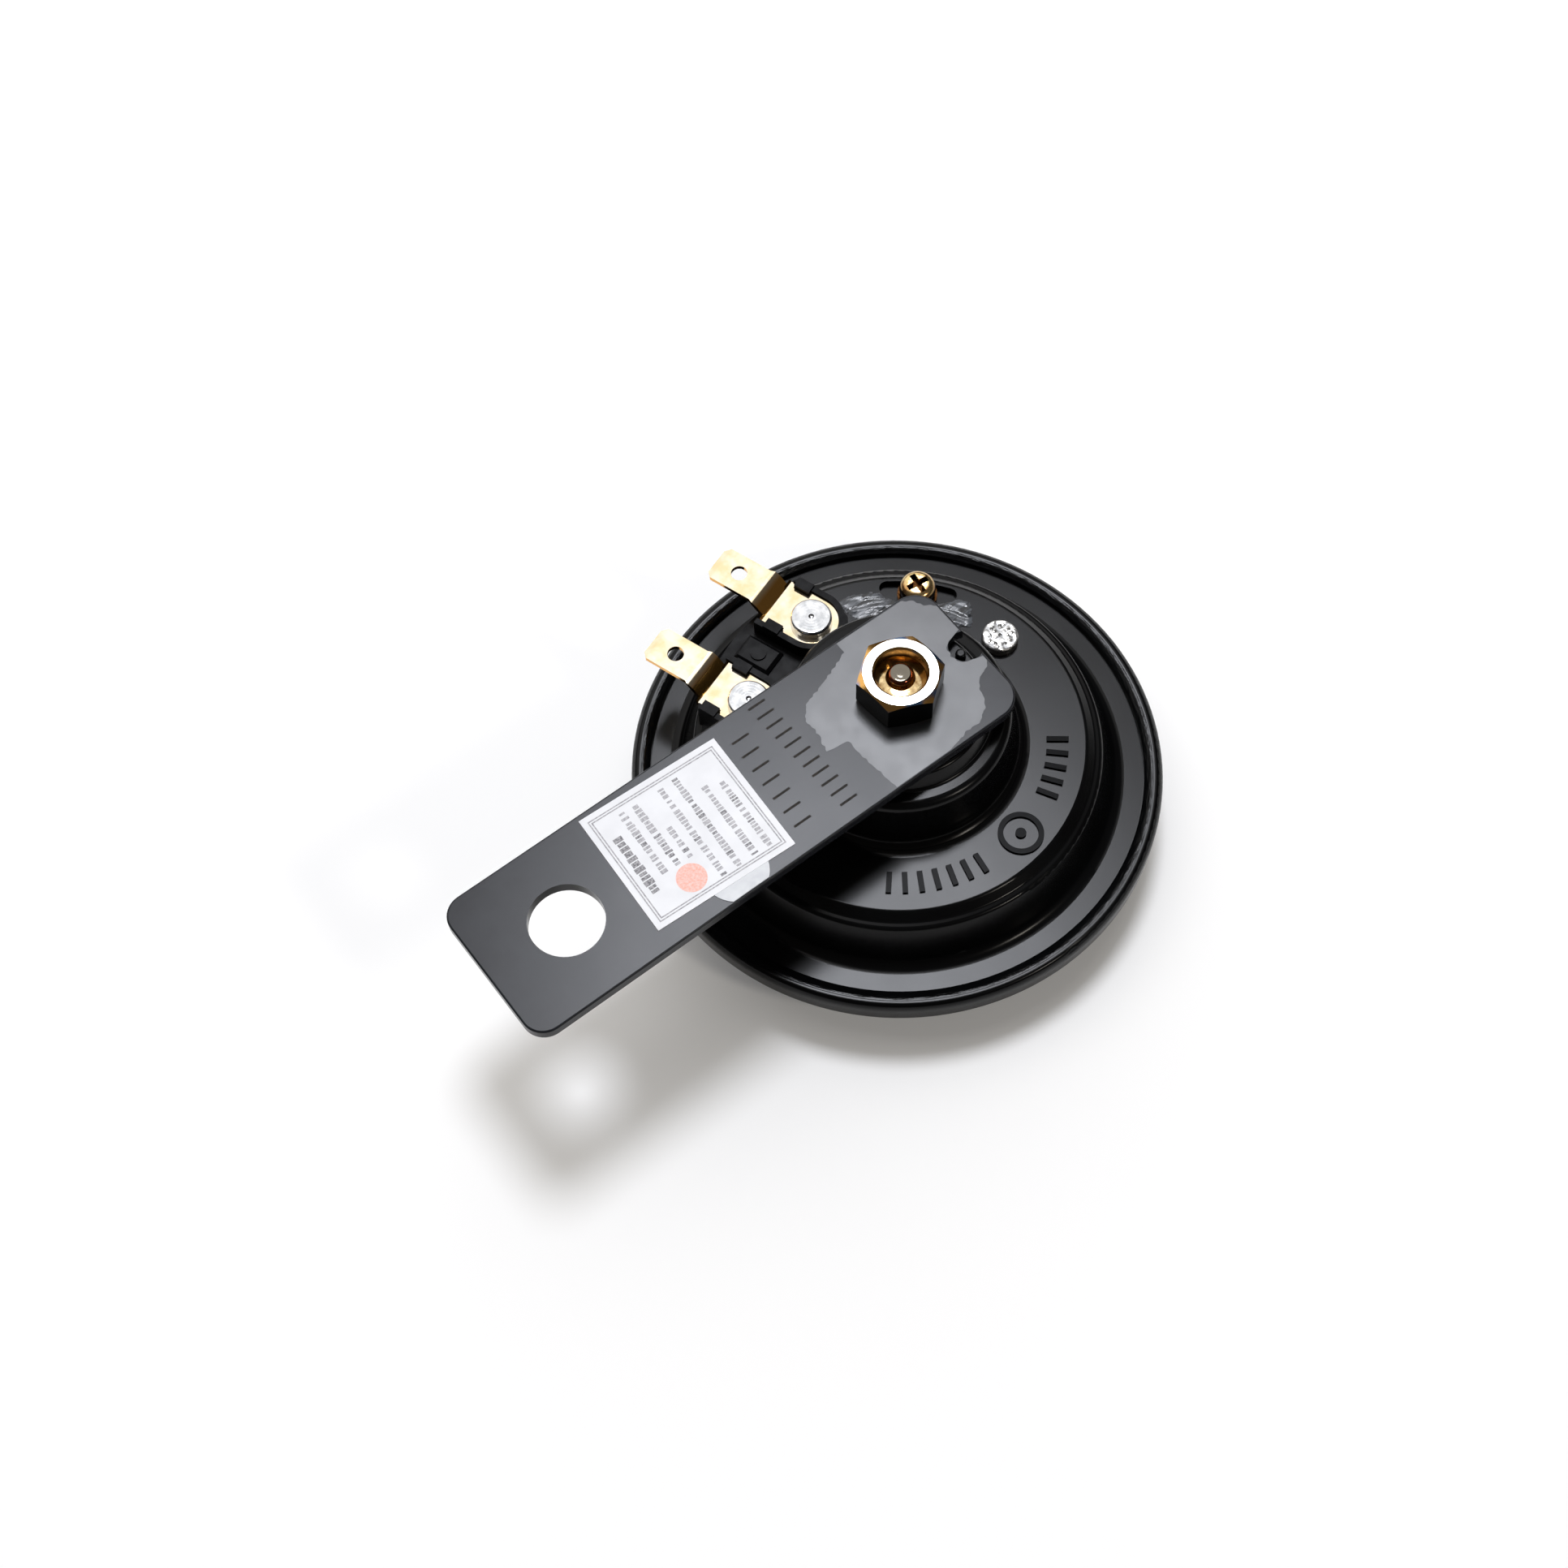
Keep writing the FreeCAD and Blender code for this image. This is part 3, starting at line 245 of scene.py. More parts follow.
def paperLabel():
    # coated paper with a matt laminate: near white, a faint mottle, hardly any shine; its fibres
    # are drawn coarser than real ones, which would not show
    return mottledSkin("coatedPaper", labelLook)[0]


sealLook = {
    "dark": "#8f9193", "light": "#a2a4a5", "toneSize": 3.0,
    "roughness": 0.3, "grainSize": 0.5, "grainDepth": 0.002,
}


def milkySeal():
    # thin vinyl seal, milky and a little shiny, greyer where the paint shows through
    return mottledSkin("milkyVinyl", sealLook)[0]


# Plated metal

nutLook = {
    # the near black on the upright flats is painted shade, not the plate's colour
    "plate": "#f0eee9", "straw": "#d9a860", "blue": "#5f86b8", "side": "#10100e", "bore": "#8d6c3c",
    "tintSize": 4.0, "blueFrom": 0.52, "blueTo": 0.62, "boreRadius": 5.0,
    "coneFrom": 0.3, "coneTo": 0.6, "endFrom": 0.93, "endTo": 0.99,  # how flat a cone and an end are
    "roughness": 0.11, "markSize": 0.3, "markDepth": 0.0012,
}


def brightZinc():
    # zinc plate on a cold formed nut: white bright ends and straw and blue tints on the turned cones;
    # the upright flats are painted nearly black, a painted shade
    material, tree, shader, inMm = newMaterial("brightZincPlate", nutLook["roughness"], 1.0)
    bluish = cloudy(tree, inMm, nutLook["tintSize"], 1.0, nutLook["blueFrom"], nutLook["blueTo"])
    cone = add(tree, "Mix", {0: bluish, 6: colour(nutLook["straw"]), 7: colour(nutLook["blue"])},
               data_type="RGBA").outputs[2]
    isEnd = flatness(tree, nutLook["endFrom"], nutLook["endTo"])
    lying = add(tree, "Mix", {0: isEnd, 6: cone, 7: colour(nutLook["plate"])}, data_type="RGBA").outputs[2]
    inside = add(tree, "Math", {0: axisRadius(tree, inMm), 1: nutLook["boreRadius"]}, operation="LESS_THAN")
    # upright faces: the flats get the near black painted shade, the bore its own brown
    upright = add(tree, "Mix", {0: inside.outputs[0], 6: colour(nutLook["side"]), 7: colour(nutLook["bore"])},
                  data_type="RGBA").outputs[2]
    isCone = flatness(tree, nutLook["coneFrom"], nutLook["coneTo"])
    toned = add(tree, "Mix", {0: isCone, 6: upright, 7: lying}, data_type="RGBA").outputs[2]
    tree.links.new(toned, shader.inputs["Base Color"])
    relief(tree, shader, cloudy(tree, inMm, nutLook["markSize"]), nutLook["markDepth"])
    return material


studLook = {
    "dark": "#7d5a2e", "light": "#dcc596", "toneSize": 1.6, "roughness": 0.12, "lean": 5.0,
    # the point: its painted shade grey and painted reflection red brown, and how far they reach out and down
    "tip": "#6f6a60", "tipEdge": "#744634", "tipRadius": 2.0, "edgeRadius": 1.55, "tipHeight": 0.5,
    # scratches: their length, how many times narrower they are, their turn and depth
    "scratchSize": 0.88, "scratchRun": 5.0, "scratchTurn": 0.6, "scratchDepth": 0.003, "detail": 4.0,
}


def yellowZincSteel():
    # turned steel under yellow passivated zinc: gold to brown, glossy; its point is painted a darker grey
    # as painted shade, with a red brown edge that is a painted reflection
    material, tree, shader, inMm = newMaterial("yellowZincSteel", studLook["roughness"], 1.0)
    patches = cloudy(tree, inMm, studLook["toneSize"], studLook["detail"])
    skin = twoTone(tree, shader, patches, studLook["dark"], studLook["light"])
    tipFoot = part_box("core_stud")[1].z / mm - studLook["tipHeight"]
    height = add(tree, "SeparateXYZ", {0: inMm}).outputs[2]
    radius = axisRadius(tree, inMm)
    above = add(tree, "Math", {0: height, 1: tipFoot}, operation="GREATER_THAN").outputs[0]
    within = add(tree, "Math", {0: radius, 1: studLook["tipRadius"]}, operation="LESS_THAN").outputs[0]
    tip = add(tree, "Math", {0: above, 1: within}, operation="MULTIPLY").outputs[0]
    edge = add(tree, "Math", {0: radius, 1: studLook["edgeRadius"]}, operation="GREATER_THAN").outputs[0]
    # the point's grey is painted shade, its red brown edge a painted reflection
    end = add(tree, "Mix", {0: edge, 6: colour(studLook["tip"]), 7: colour(studLook["tipEdge"])},
              data_type="RGBA").outputs[2]
    toned = add(tree, "Mix", {0: tip, 6: skin.outputs[2], 7: end}, data_type="RGBA").outputs[2]
    tree.links.new(toned, shader.inputs["Base Color"])
    stretched = add(tree, "Mapping", {0: inMm, "Scale": (1.0, studLook["scratchRun"], 1.0),
                                      "Rotation": (0.0, 0.0, studLook["scratchTurn"])}).outputs[0]
    scratches = cloudy(tree, stretched, studLook["scratchSize"], studLook["detail"])
    leanFace(tree, relief(tree, shader, scratches, studLook["scratchDepth"]), studLook["lean"])
    return material


brassLook = {
    # edge: a browner gold painted on the bends and sides, a painted shade
    "pale": "#efe6d4", "warm": "#e6d2a8", "edge": "#e6ac58", "toneSize": 2.6,
    "bendFrom": 0.72, "bendTo": 0.97,  # how flat a bend is
    "roughness": 0.08, "roughnessHigh": 0.12,
    "rollSize": 0.16, "rollRun": 0.08, "rollDetail": 2.0, "rollDepth": 0.0004, "turn": math.radians(109),
    "palmTop": 23.2, "bladeFrom": 24.4, "lean": 3.5, "bladeLean": 0.7,
}
# stamped brass, unplated: yellower than the tabs
tagLook = dict(brassLook, pale="#dcc07a", warm="#b98f45")


def rolledBrass(name, look):
    # rolled and stamped brass strip: golden, with the lines of the rolling along the tab, drawn coarser
    # than real ones, which would not show; its bends and sides are painted a browner gold, a painted shade
    material, tree, shader, inMm = newMaterial(name, look["roughness"], 1.0)
    patches = cloudy(tree, inMm, look["toneSize"])
    strip = add(tree, "Mix", {0: patches, 6: colour(look["warm"]), 7: colour(look["pale"])},
                data_type="RGBA").outputs[2]
    level = flatness(tree, look["bendFrom"], look["bendTo"])
    # bends and sides take the browner gold: painted shade
    toned = add(tree, "Mix", {0: level, 6: colour(look["edge"]), 7: strip}, data_type="RGBA").outputs[2]
    tree.links.new(toned, shader.inputs["Base Color"])
    turned = add(tree, "Mapping", {0: inMm, "Rotation": (0.0, 0.0, -look["turn"])}).outputs[0]
    drawn = add(tree, "VectorMath", {0: turned, 1: (look["rollRun"], 1.0, 1.0)}, operation="MULTIPLY")
    lines = cloudy(tree, drawn.outputs[0], look["rollSize"], look["rollDetail"])
    glossRange(tree, shader, lines, look)
    height = add(tree, "SeparateXYZ", {0: inMm}).outputs[2]
    palm = add(tree, "MapRange", {0: height, 1: look["bladeFrom"], 2: look["palmTop"],
                                  3: look["bladeLean"]}).outputs[0]
    leanFace(tree, relief(tree, shader, lines, look["rollDepth"]), look["lean"], palm)
    return material


def nodeCentre(name):
    low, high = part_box(name)
    return tuple((low + high) / 2 / mm)


rivetLook = {
    "dark": "#b8bbbf", "light": "#dadcdf", "toneSize": 1.1, "roughness": 0.14,
    "ringSize": 0.5, "ringDepth": 0.003, "lean": 4.0,
}


def headedSteel(name):
    # bright plated steel rivet, whose head shows the rings of the forming tool
    material, tree, shader, inMm = newMaterial(name + "Plate", rivetLook["roughness"], 1.0)
    twoTone(tree, shader, cloudy(tree, inMm, rivetLook["toneSize"]), rivetLook["dark"], rivetLook["light"])
    offset = add(tree, "VectorMath", {0: inMm, 1: nodeCentre(name)}, operation="SUBTRACT").outputs[0]
    turns = 2 * math.pi / rivetLook["ringSize"]
    rings = add(tree, "Math", {0: axisRadius(tree, offset), 1: turns}, operation="MULTIPLY").outputs[0]
    wave = add(tree, "Math", {0: rings}, operation="SINE").outputs[0]
    leanFace(tree, relief(tree, shader, wave, rivetLook["ringDepth"]), rivetLook["lean"])
    return material


crustLook = {
    "bright": "#f4f4f2", "dull": "#8c8c8c", "roughness": 0.22, "roughnessHigh": 0.5,
    "pitSize": 0.95, "unevenness": 0.8, "pitFrom": 0.1, "pitTo": 0.6, "pitDepth": 0.22,
}


def stakedZinc():
    # dull zinc on a staked rivet: the punch has left a crust of bright and dark pits
    material, tree, shader, inMm = newMaterial("stakedZinc", crustLook["roughness"], 1.0)
    pits = add(tree, "TexVoronoi", {"Vector": inMm, "Scale": 1.0 / crustLook["pitSize"],
                                    "Randomness": crustLook["unevenness"]}, feature="SMOOTH_F1").outputs[0]
    level = add(tree, "MapRange", {0: pits, 1: crustLook["pitFrom"], 2: crustLook["pitTo"]}).outputs[0]
    twoTone(tree, shader, level, crustLook["bright"], crustLook["dull"])
    glossRange(tree, shader, level, crustLook)
    relief(tree, shader, level, -crustLook["pitDepth"])
    return material


screwLook = {
    "gold": "#dcc48e", "pink": "#b98c5a", "deep": "#2c1a0a", "roughness": 0.2,
    "patchSize": 1.3, "patchDetail": 2.0, "darkBelow": 0.9, "brightAbove": 0.35,
    "grainSize": 0.3, "grainDepth": 0.006,
}


def adjusterZinc():
    # yellow zinc on a small pan head: pale gold with brown patches, dark brown down in the cross
    # and on all that lies below the head
    material, tree, shader, inMm = newMaterial("adjusterZinc", screwLook["roughness"], 1.0)
    patches = cloudy(tree, inMm, screwLook["patchSize"], screwLook["patchDetail"])
    skin = add(tree, "Mix", {0: patches, 6: colour(screwLook["gold"]), 7: colour(screwLook["pink"])},
               data_type="RGBA").outputs[2]
    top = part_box("adjusting_screw")[1].z / mm
    height = add(tree, "SeparateXYZ", {0: inMm}).outputs[2]
    bright = add(tree, "MapRange", {0: height, 1: top - screwLook["darkBelow"],
                                    2: top - screwLook["brightAbove"]}).outputs[0]
    toned = add(tree, "Mix", {0: bright, 6: colour(screwLook["deep"]), 7: skin}, data_type="RGBA").outputs[2]
    tree.links.new(toned, shader.inputs["Base Color"])
    relief(tree, shader, cloudy(tree, inMm, screwLook["grainSize"]), screwLook["grainDepth"])
    return material


# Block and lacquer

blockLook = {
    "dark": "#070708", "light": "#0d0d0e", "toneSize": 0.5,
    "roughness": 0.36, "roughnessHigh": 0.5, "glossSize": 2.5, "specular": 0.07,
    "grainSize": 0.18, "grainDepth": 0.002,
}


def mouldedPhenolic():
    # compression moulded phenolic: dull black, with its filler's grain drawn coarse enough to show
    material, tree, shader, inMm = mottledSkin("mouldedPhenolic", blockLook)
    glossRange(tree, shader, cloudy(tree, inMm, blockLook["glossSize"]), blockLook)
    shader.inputs["Specular IOR Level"].default_value = blockLook["specular"]
    return material


lacquerLook = {
    "dark": "#1b1d20", "light": "#4a4e54", "roughness": 0.12, "roughnessHigh": 0.34,
    "streakSize": 0.6, "streakRun": 0.22, "streakDetail": 4.0, "streakFrom": 0.38, "streakTo": 0.62,
    "streakDepth": 0.03,
}


def brushedLacquer():
    # locking lacquer brushed on thick: glassy grey streaks over the black paint
    material, tree, shader, inMm = newMaterial("brushedLacquer", lacquerLook["roughness"])
    along = add(tree, "VectorMath", {0: inMm, 1: (lacquerLook["streakRun"], 1.0, 1.0)}, operation="MULTIPLY")
    streak = cloudy(tree, along.outputs[0], lacquerLook["streakSize"], lacquerLook["streakDetail"],
                    lacquerLook["streakFrom"], lacquerLook["streakTo"])
    twoTone(tree, shader, streak, lacquerLook["dark"], lacquerLook["light"])
    glossRange(tree, shader, streak, lacquerLook)
    relief(tree, shader, streak, lacquerLook["streakDepth"])
    return material


# Finishes of the hidden pieces

rubberLook = {
    "dark": "#141414", "light": "#232322", "toneSize": 0.7,
    "roughness": 0.8, "grainSize": 0.25, "grainDepth": 0.01,
}


def sheetRubber():
    # calendered nitrile sheet: flat black, powdery
    return mottledSkin("sheetRubber", rubberLook)[0]


boardLook = {
    "dark": "#6d4727", "light": "#8a5d36", "toneSize": 1.4,
    "roughness": 0.5, "grainSize": 0.3, "grainDepth": 0.006,
}


def laminatedBoard():
    # pressed paper and resin board: brown, with a faint grain
    return mottledSkin("laminatedBoard", boardLook)[0]


nylonLook = {
    "dark": "#c9bfa6", "light": "#d8cfb8", "toneSize": 4.0,
    "roughness": 0.4, "grainSize": 0.4, "grainDepth": 0.003,
}


def mouldedNylon():
    # injection moulded nylon: cream, satin
    return mottledSkin("mouldedNylon", nylonLook)[0]


copperLook = {
    "dark": "#a8532a", "light": "#c46f3c", "toneSize": 1.0,
    "roughness": 0.3, "coat": 0.6, "grainSize": 0.5, "grainDepth": 0.004,
}


def enamelledCopper():
    # drawn copper wire under a clear red brown enamel: warm metal with a thin gloss
    material, tree, shader, inMm = mottledSkin("enamelledCopper", copperLook, 1.0)
    shader.inputs["Coat Weight"].default_value = copperLook["coat"]
    return material


springLook = {"dark": "#7d7c78", "light": "#a3a29c", "roughness": 0.3}
plainLook = {"dark": "#6d6e70", "light": "#8d8e90", "roughness": 0.38}
contactLook = {"dark": "#a0a1a6", "light": "#c2c3c8", "roughness": 0.3}
rollingLook = {"toneSize": 0.48, "lineSize": 0.12, "lineRun": 0.06, "lineDepth": 0.002}


def rolledSteel(name, look):
    # cold rolled steel: grey with straight lines along X, drawn coarse enough to show
    material, tree, shader, inMm = newMaterial(name, look["roughness"], 1.0)
    along = add(tree, "VectorMath", {0: inMm, 1: (rollingLook["lineRun"], 1.0, 1.0)}, operation="MULTIPLY")
    lines = along.outputs[0]
    twoTone(tree, shader, cloudy(tree, lines, rollingLook["toneSize"]), look["dark"], look["light"])
    relief(tree, shader, cloudy(tree, lines, rollingLook["lineSize"]), rollingLook["lineDepth"])
    return material


finishes = {
    "housing_paint": housingEnamel,
    "cover_paint": coverEnamel,
    "bracket_paint": bracketEnamel,
    "label_film": paperLabel,
    "seal_film": milkySeal,
    "nut_plate": brightZinc,
    "stud_steel": yellowZincSteel,
    "block_plastic": mouldedPhenolic,
    "bobbin_plastic": mouldedNylon,
    "insulating_board": laminatedBoard,
    "tab_brass": lambda: rolledBrass("paleBrass", brassLook),
    "tag_brass": lambda: rolledBrass("stampedBrass", tagLook),
    "breaker_plate": stakedZinc,
    "adjuster_plate": adjusterZinc,
    "sealant_lacquer": brushedLacquer,
    "gasket_rubber": sheetRubber,
    "diaphragm_steel": lambda: rolledSteel("springSteel", springLook),
    "plain_steel": lambda: rolledSteel("plainSteel", plainLook),
    "contact_metal": lambda: rolledSteel("contactMetal", contactLook),
    "wire_enamel": enamelledCopper,
}
made = {slotName: make() for slotName, make in finishes.items()}

for part in frame["record"]["subparts"]:
    node, slotName = nodes[part["node"]], part["material_slot"]
    # each rivet's rings lie round its own centre
    finish = headedSteel(node.name) if slotName == "rivet_steel" else made[slotName]
    node.data.materials.clear()
    node.data.materials.append(finish)
print("finishes made:", len(made), "and the rivets'")


def meshPiece(name, points, faces, material):
    mesh = bpy.data.meshes.new(name)
    mesh.from_pydata(points, [], faces)
    mesh.materials.append(material)
    piece = bpy.data.objects.new(name, mesh)
    bpy.context.scene.collection.objects.link(piece)
    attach(piece, "root")
    return piece


def prisms(name, outlines, low, high, material):
    # closed flat pieces from outlines in mm
    points, faces = [], []
    for outline in outlines:
        start, count = len(points), len(outline)
        points += [(x * mm, y * mm, z * mm) for z in (low, high) for x, y in outline]
        faces.append(tuple(range(start + count - 1, start - 1, -1)))
        faces.append(tuple(range(start + count, start + 2 * count)))
        for i in range(count):
            j = (i + 1) % count
            faces.append((start + i, start + j, start + count + j, start + count + i))
    meshPiece(name, points, faces, material)


def smooth(piece):
    piece.data.polygons.foreach_set("use_smooth", [True] * len(piece.data.polygons))


# Print on the label

labelPlan = {
    "length": 24.3, "width": 21.7, "centre": (-39.95, 0.65), "turn": math.radians(-2.5),
    "borderInset": 1.05, "borderWidth": 0.2, "borderGap": 0.42,
    "inkTop": 0.008, "inkDepth": 0.02,
    # the spot's place, in shares of the length and the width, its radius and its degrees per side
    "spot": (0.357, 0.197), "spotRadius": 2.35, "spotStep": 6,
    # plain bars: width and half height as shares of the row's height, and the gaps between them
    "seed": 4, "barWide": (0.3, 0.6), "barTall": (0.38, 0.56), "barGap": 0.18,
    "darkShare": 0.2, "groupShare": 0.2, "groupGap": 3.0,
}
# rows of plain bars: share of the length, first and last share of the width, height
labelRows = [
    (0.130, 0.245, 0.75, 1.55), (0.244, 0.33, 0.88, 1.15), (0.340, 0.33, 0.85, 1.15),
    (0.430, 0.33, 0.60, 1.05), (0.530, 0.085, 0.89, 1.05), (0.640, 0.085, 0.89, 1.05),
    (0.762, 0.095, 0.71, 1.05), (0.868, 0.09, 0.69, 1.05),
]
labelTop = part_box("bracket_label")[1].z / mm


def onLabel(along, across):
    # from shares of the label's length and width to the row frame
    x = (along - 0.5) * labelPlan["length"]
    y = (across - 0.5) * labelPlan["width"]
    cosine, sine = math.cos(labelPlan["turn"]), math.sin(labelPlan["turn"])
    return labelPlan["centre"][0] + x * cosine - y * sine, labelPlan["centre"][1] + x * sine + y * cosine


def labelBar(along, across, halfAlong, halfAcross):
    u, v = halfAlong / labelPlan["length"], halfAcross / labelPlan["width"]
    return [onLabel(along + a * u, across + b * v) for a, b in ((-1, -1), (1, -1), (1, 1), (-1, 1))]


inkLook = {
    "grey": "#929196", "dark": "#545358", "border": "#858489", "salmon": "#f2a894",
    "paper": "#f3f1f4", "worn": 0.35,  # how much paper shows through a thin place
    "roughness": 0.5, "coverSize": 0.35, "grainSize": 0.2, "grainDepth": 0.001,
}


def printInk(ink):
    # screen printed ink on the laminate: matt, slightly uneven in cover
    material, tree, shader, inMm = newMaterial(ink + "Ink", inkLook["roughness"])
    thin = add(tree, "Mix", {0: inkLook["worn"], 6: colour(inkLook[ink]), 7: colour(inkLook["paper"])},
               data_type="RGBA").outputs[2]
    cover = add(tree, "Mix", {0: cloudy(tree, inMm, inkLook["coverSize"]), 6: colour(inkLook[ink]), 7: thin},
                data_type="RGBA").outputs[2]
    tree.links.new(cover, shader.inputs["Base Color"])
    relief(tree, shader, cloudy(tree, inMm, inkLook["grainSize"]), inkLook["grainDepth"])
    return material


def labelBorders():
    # two plain frames, one inside the other
    bars, half = [], labelPlan["borderWidth"] / 2
    for ring in range(2):
        inset = labelPlan["borderInset"] + ring * labelPlan["borderGap"]
        alongEdge, acrossEdge = inset / labelPlan["length"], inset / labelPlan["width"]
        for edge in (alongEdge, 1 - alongEdge):
            bars.append(labelBar(edge, 0.5, half, labelPlan["width"] / 2 - inset - half))
        for edge in (acrossEdge, 1 - acrossEdge):
            bars.append(labelBar(0.5, edge, labelPlan["length"] / 2 - inset + half, half))
    return bars


def labelBars():
    # the grey and the dark bars of all rows
    rng = random.Random(labelPlan["seed"])
    grey, dark = [], []
    for row, (along, first, last, height) in enumerate(labelRows):
        at = first * labelPlan["width"]
        while at < last * labelPlan["width"]:
            wide = height * rng.uniform(*labelPlan["barWide"])
            middle = (at + wide / 2) / labelPlan["width"]
            bar = labelBar(along, middle, height * rng.uniform(*labelPlan["barTall"]), wide / 2)
            isDark = row == 0 or rng.random() < labelPlan["darkShare"]
            (dark if isDark else grey).append(bar)
            endsGroup = rng.random() < labelPlan["groupShare"] and row > 0
            at += wide + labelPlan["barGap"] * (labelPlan["groupGap"] if endsGroup else 1.0)
    return grey, dark


def labelSpot():
    centre, radius = onLabel(*labelPlan["spot"]), labelPlan["spotRadius"]
    angles = [math.radians(degrees) for degrees in range(0, 360, labelPlan["spotStep"])]
    return [(centre[0] + radius * math.cos(angle), centre[1] + radius * math.sin(angle)) for angle in angles]


def labelPrint():
    low, high = labelTop - labelPlan["inkDepth"], labelTop + labelPlan["inkTop"]
    grey, dark = labelBars()
    prisms("labelBorder", labelBorders(), low, high, printInk("border"))
    prisms("labelRowsGrey", grey, low, high, printInk("grey"))
    prisms("labelRowsDark", dark, low, high, printInk("dark"))
    prisms("labelSpot", [labelSpot()], low, high, printInk("salmon"))


labelPrint()
print("label printed")


# Marks and oil on the bracket

tickPlan = {
    # each row's first and last place, and its count
    "rows": [((-18.7, 11.6), (-17.6, -9.8), 11), ((-24.2, 8.4), (-25.2, -8.4), 7)],
    "height": 3.1, "width": 0.42, "top": 0.006, "depth": 0.02,
}
burntLook = {
    "dark": "#141210", "light": "#2c2621", "toneSize": 0.5,
    "roughness": 0.55, "specular": 0.15, "grainSize": 0.2, "grainDepth": 0.004,
}
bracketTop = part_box("bracket")[1].z / mm


def burntMark():
    # laser burnt marks in the paint: darker and duller than the coat, in places brown
    material, tree, shader, inMm = mottledSkin("burntMark", burntLook)
    shader.inputs["Specular IOR Level"].default_value = burntLook["specular"]
    return material


def bracketTicks():
    # two plain rows of ticks
    bars, long, wide = [], tickPlan["height"] / 2, tickPlan["width"] / 2
    for start, end, count in tickPlan["rows"]:
        for i in range(count):
            share = i / (count - 1)
            x = start[0] + (end[0] - start[0]) * share
            y = start[1] + (end[1] - start[1]) * share
            corners = ((-long, -wide), (long, -wide), (long, wide), (-long, wide))
            bars.append([(x + along, y + across) for along, across in corners])
    low, high = bracketTop - tickPlan["depth"], bracketTop + tickPlan["top"]
    prisms("bracketTicks", bars, low, high, burntMark())


bracketTicks()

filmPlan = {
    # outline of the oily film round the nut, kept just inside the bracket's edges
    "outline": [(14.0, 2.8), (14.0, 8.4), (12.3, 9.9), (11.6, 11.6), (10.2, 12.5), (-2.5, 12.6), (-2.4, 10.8),
                (-7.0, 8.9), (-9.9, 7.9), (-12.5, 7.1), (-14.5, 4.7), (-14.3, 1.8), (-15.2, -1.4),
                (-11.6, -1.9), (-11.5, -4.4), (-11.3, -6.4), (-10.6, -12.6), (-0.3, -12.6), (3.5, -11.7),
                (6.6, -11.5), (8.6, -10.0), (9.5, -8.4), (10.8, -5.7), (12.7, -5.1), (14.0, -4.0),
                (14.0, -2.9), (12.2, -2.7), (10.6, -1.7), (10.0, 0.0), (10.6, 1.7), (12.2, 2.7)],
    "inner": 5.2, "thickness": 0.012, "sunk": 0.01, "steps": 360,
    # the outline is uneven only inside these limits, so that it stays off the bracket's edges
    "jag": 0.35, "jagSize": 0.8, "jagAcross": 12.4, "jagAlong": 13.6, "jagFrom": 6.2,
}
filmLook = {
    "dark": "#1f2125", "light": "#26282c", "toneSize": 5.0,
    "roughness": 0.31, "roughnessHigh": 0.34, "glossSize": 3.0, "specular": 0.52,
    "rippleSize": 1.2, "rippleDepth": 0.0008,
}


def rayReach(outline, angle):
    # how far an outline is from the stud's axis, at one angle
    parallel, slack = 1e-9, 1e-6
    direction = Vector((math.cos(angle), math.sin(angle)))
    best = 0.0
    for a, b in zip(outline, outline[1:] + outline[:1]):
        edge = Vector(b) - Vector(a)
        cross = direction.x * edge.y - direction.y * edge.x
        if abs(cross) > parallel:
            along = (a[0] * edge.y - a[1] * edge.x) / cross
            share = (a[0] * direction.y - a[1] * direction.x) / cross
            if along > 0 and -slack <= share <= 1 + slack:
                best = max(best, along)
    return best


def oilyFilm():
    # preservative oil left on the paint: the same grey under a stronger and broader shine
    material, tree, shader, inMm = newMaterial("oilyFilm", filmLook["roughness"])
    twoTone(tree, shader, cloudy(tree, inMm, filmLook["toneSize"]), filmLook["dark"], filmLook["light"])
    glossRange(tree, shader, cloudy(tree, inMm, filmLook["glossSize"]), filmLook)
    relief(tree, shader, cloudy(tree, inMm, filmLook["rippleSize"], 1.0), filmLook["rippleDepth"])
    shader.inputs["Specular IOR Level"].default_value = filmLook["specular"]
    return material


def bracketFilm():
    # a closed ring round the nut, with the inner and outer edge at each step
    steps, points, faces = filmPlan["steps"], [], []
    low, high = bracketTop - filmPlan["sunk"], bracketTop + filmPlan["thickness"]
    for i in range(steps):
        angle = 2 * math.pi * i / steps
        reach = rayReach(filmPlan["outline"], angle)
        edge = Vector((math.cos(angle), math.sin(angle), 0)) * reach
        jag = noise.noise(edge / filmPlan["jagSize"]) * filmPlan["jag"]
        clear = abs(edge.y) < filmPlan["jagAcross"] and edge.x < filmPlan["jagAlong"]
        if clear and reach > filmPlan["jagFrom"]:
            reach += jag
        for radius in (filmPlan["inner"], reach):
            for z in (low, high):
                points.append((radius * math.cos(angle) * mm, radius * math.sin(angle) * mm, z * mm))
    for i in range(steps):
        a, b = 4 * i, 4 * ((i + 1) % steps)
        faces += [(a + 1, a + 3, b + 3, b + 1), (a + 3, a + 2, b + 2, b + 3), (a + 2, a, b, b + 2),
                  (a, a + 1, b + 1, b)]
    meshPiece("bracketFilm", points, faces, oilyFilm())


bracketFilm()
print("bracket marked")


# Locking lacquer round the adjuster

lacquerPlan = {
    "step": 0.18, "ragged": 0.9, "raggedSize": 1.1, "least": 0.02, "slope": 0.9, "thin": 0.03,
    # brush ridges: how fine across the radius and along the curve
    "ridgeOut": 1.6, "ridgeAround": 0.35, "seed": 3.7,
    "flatAbove": 0.5,  # how much a face of the solid points up to count as its top
}


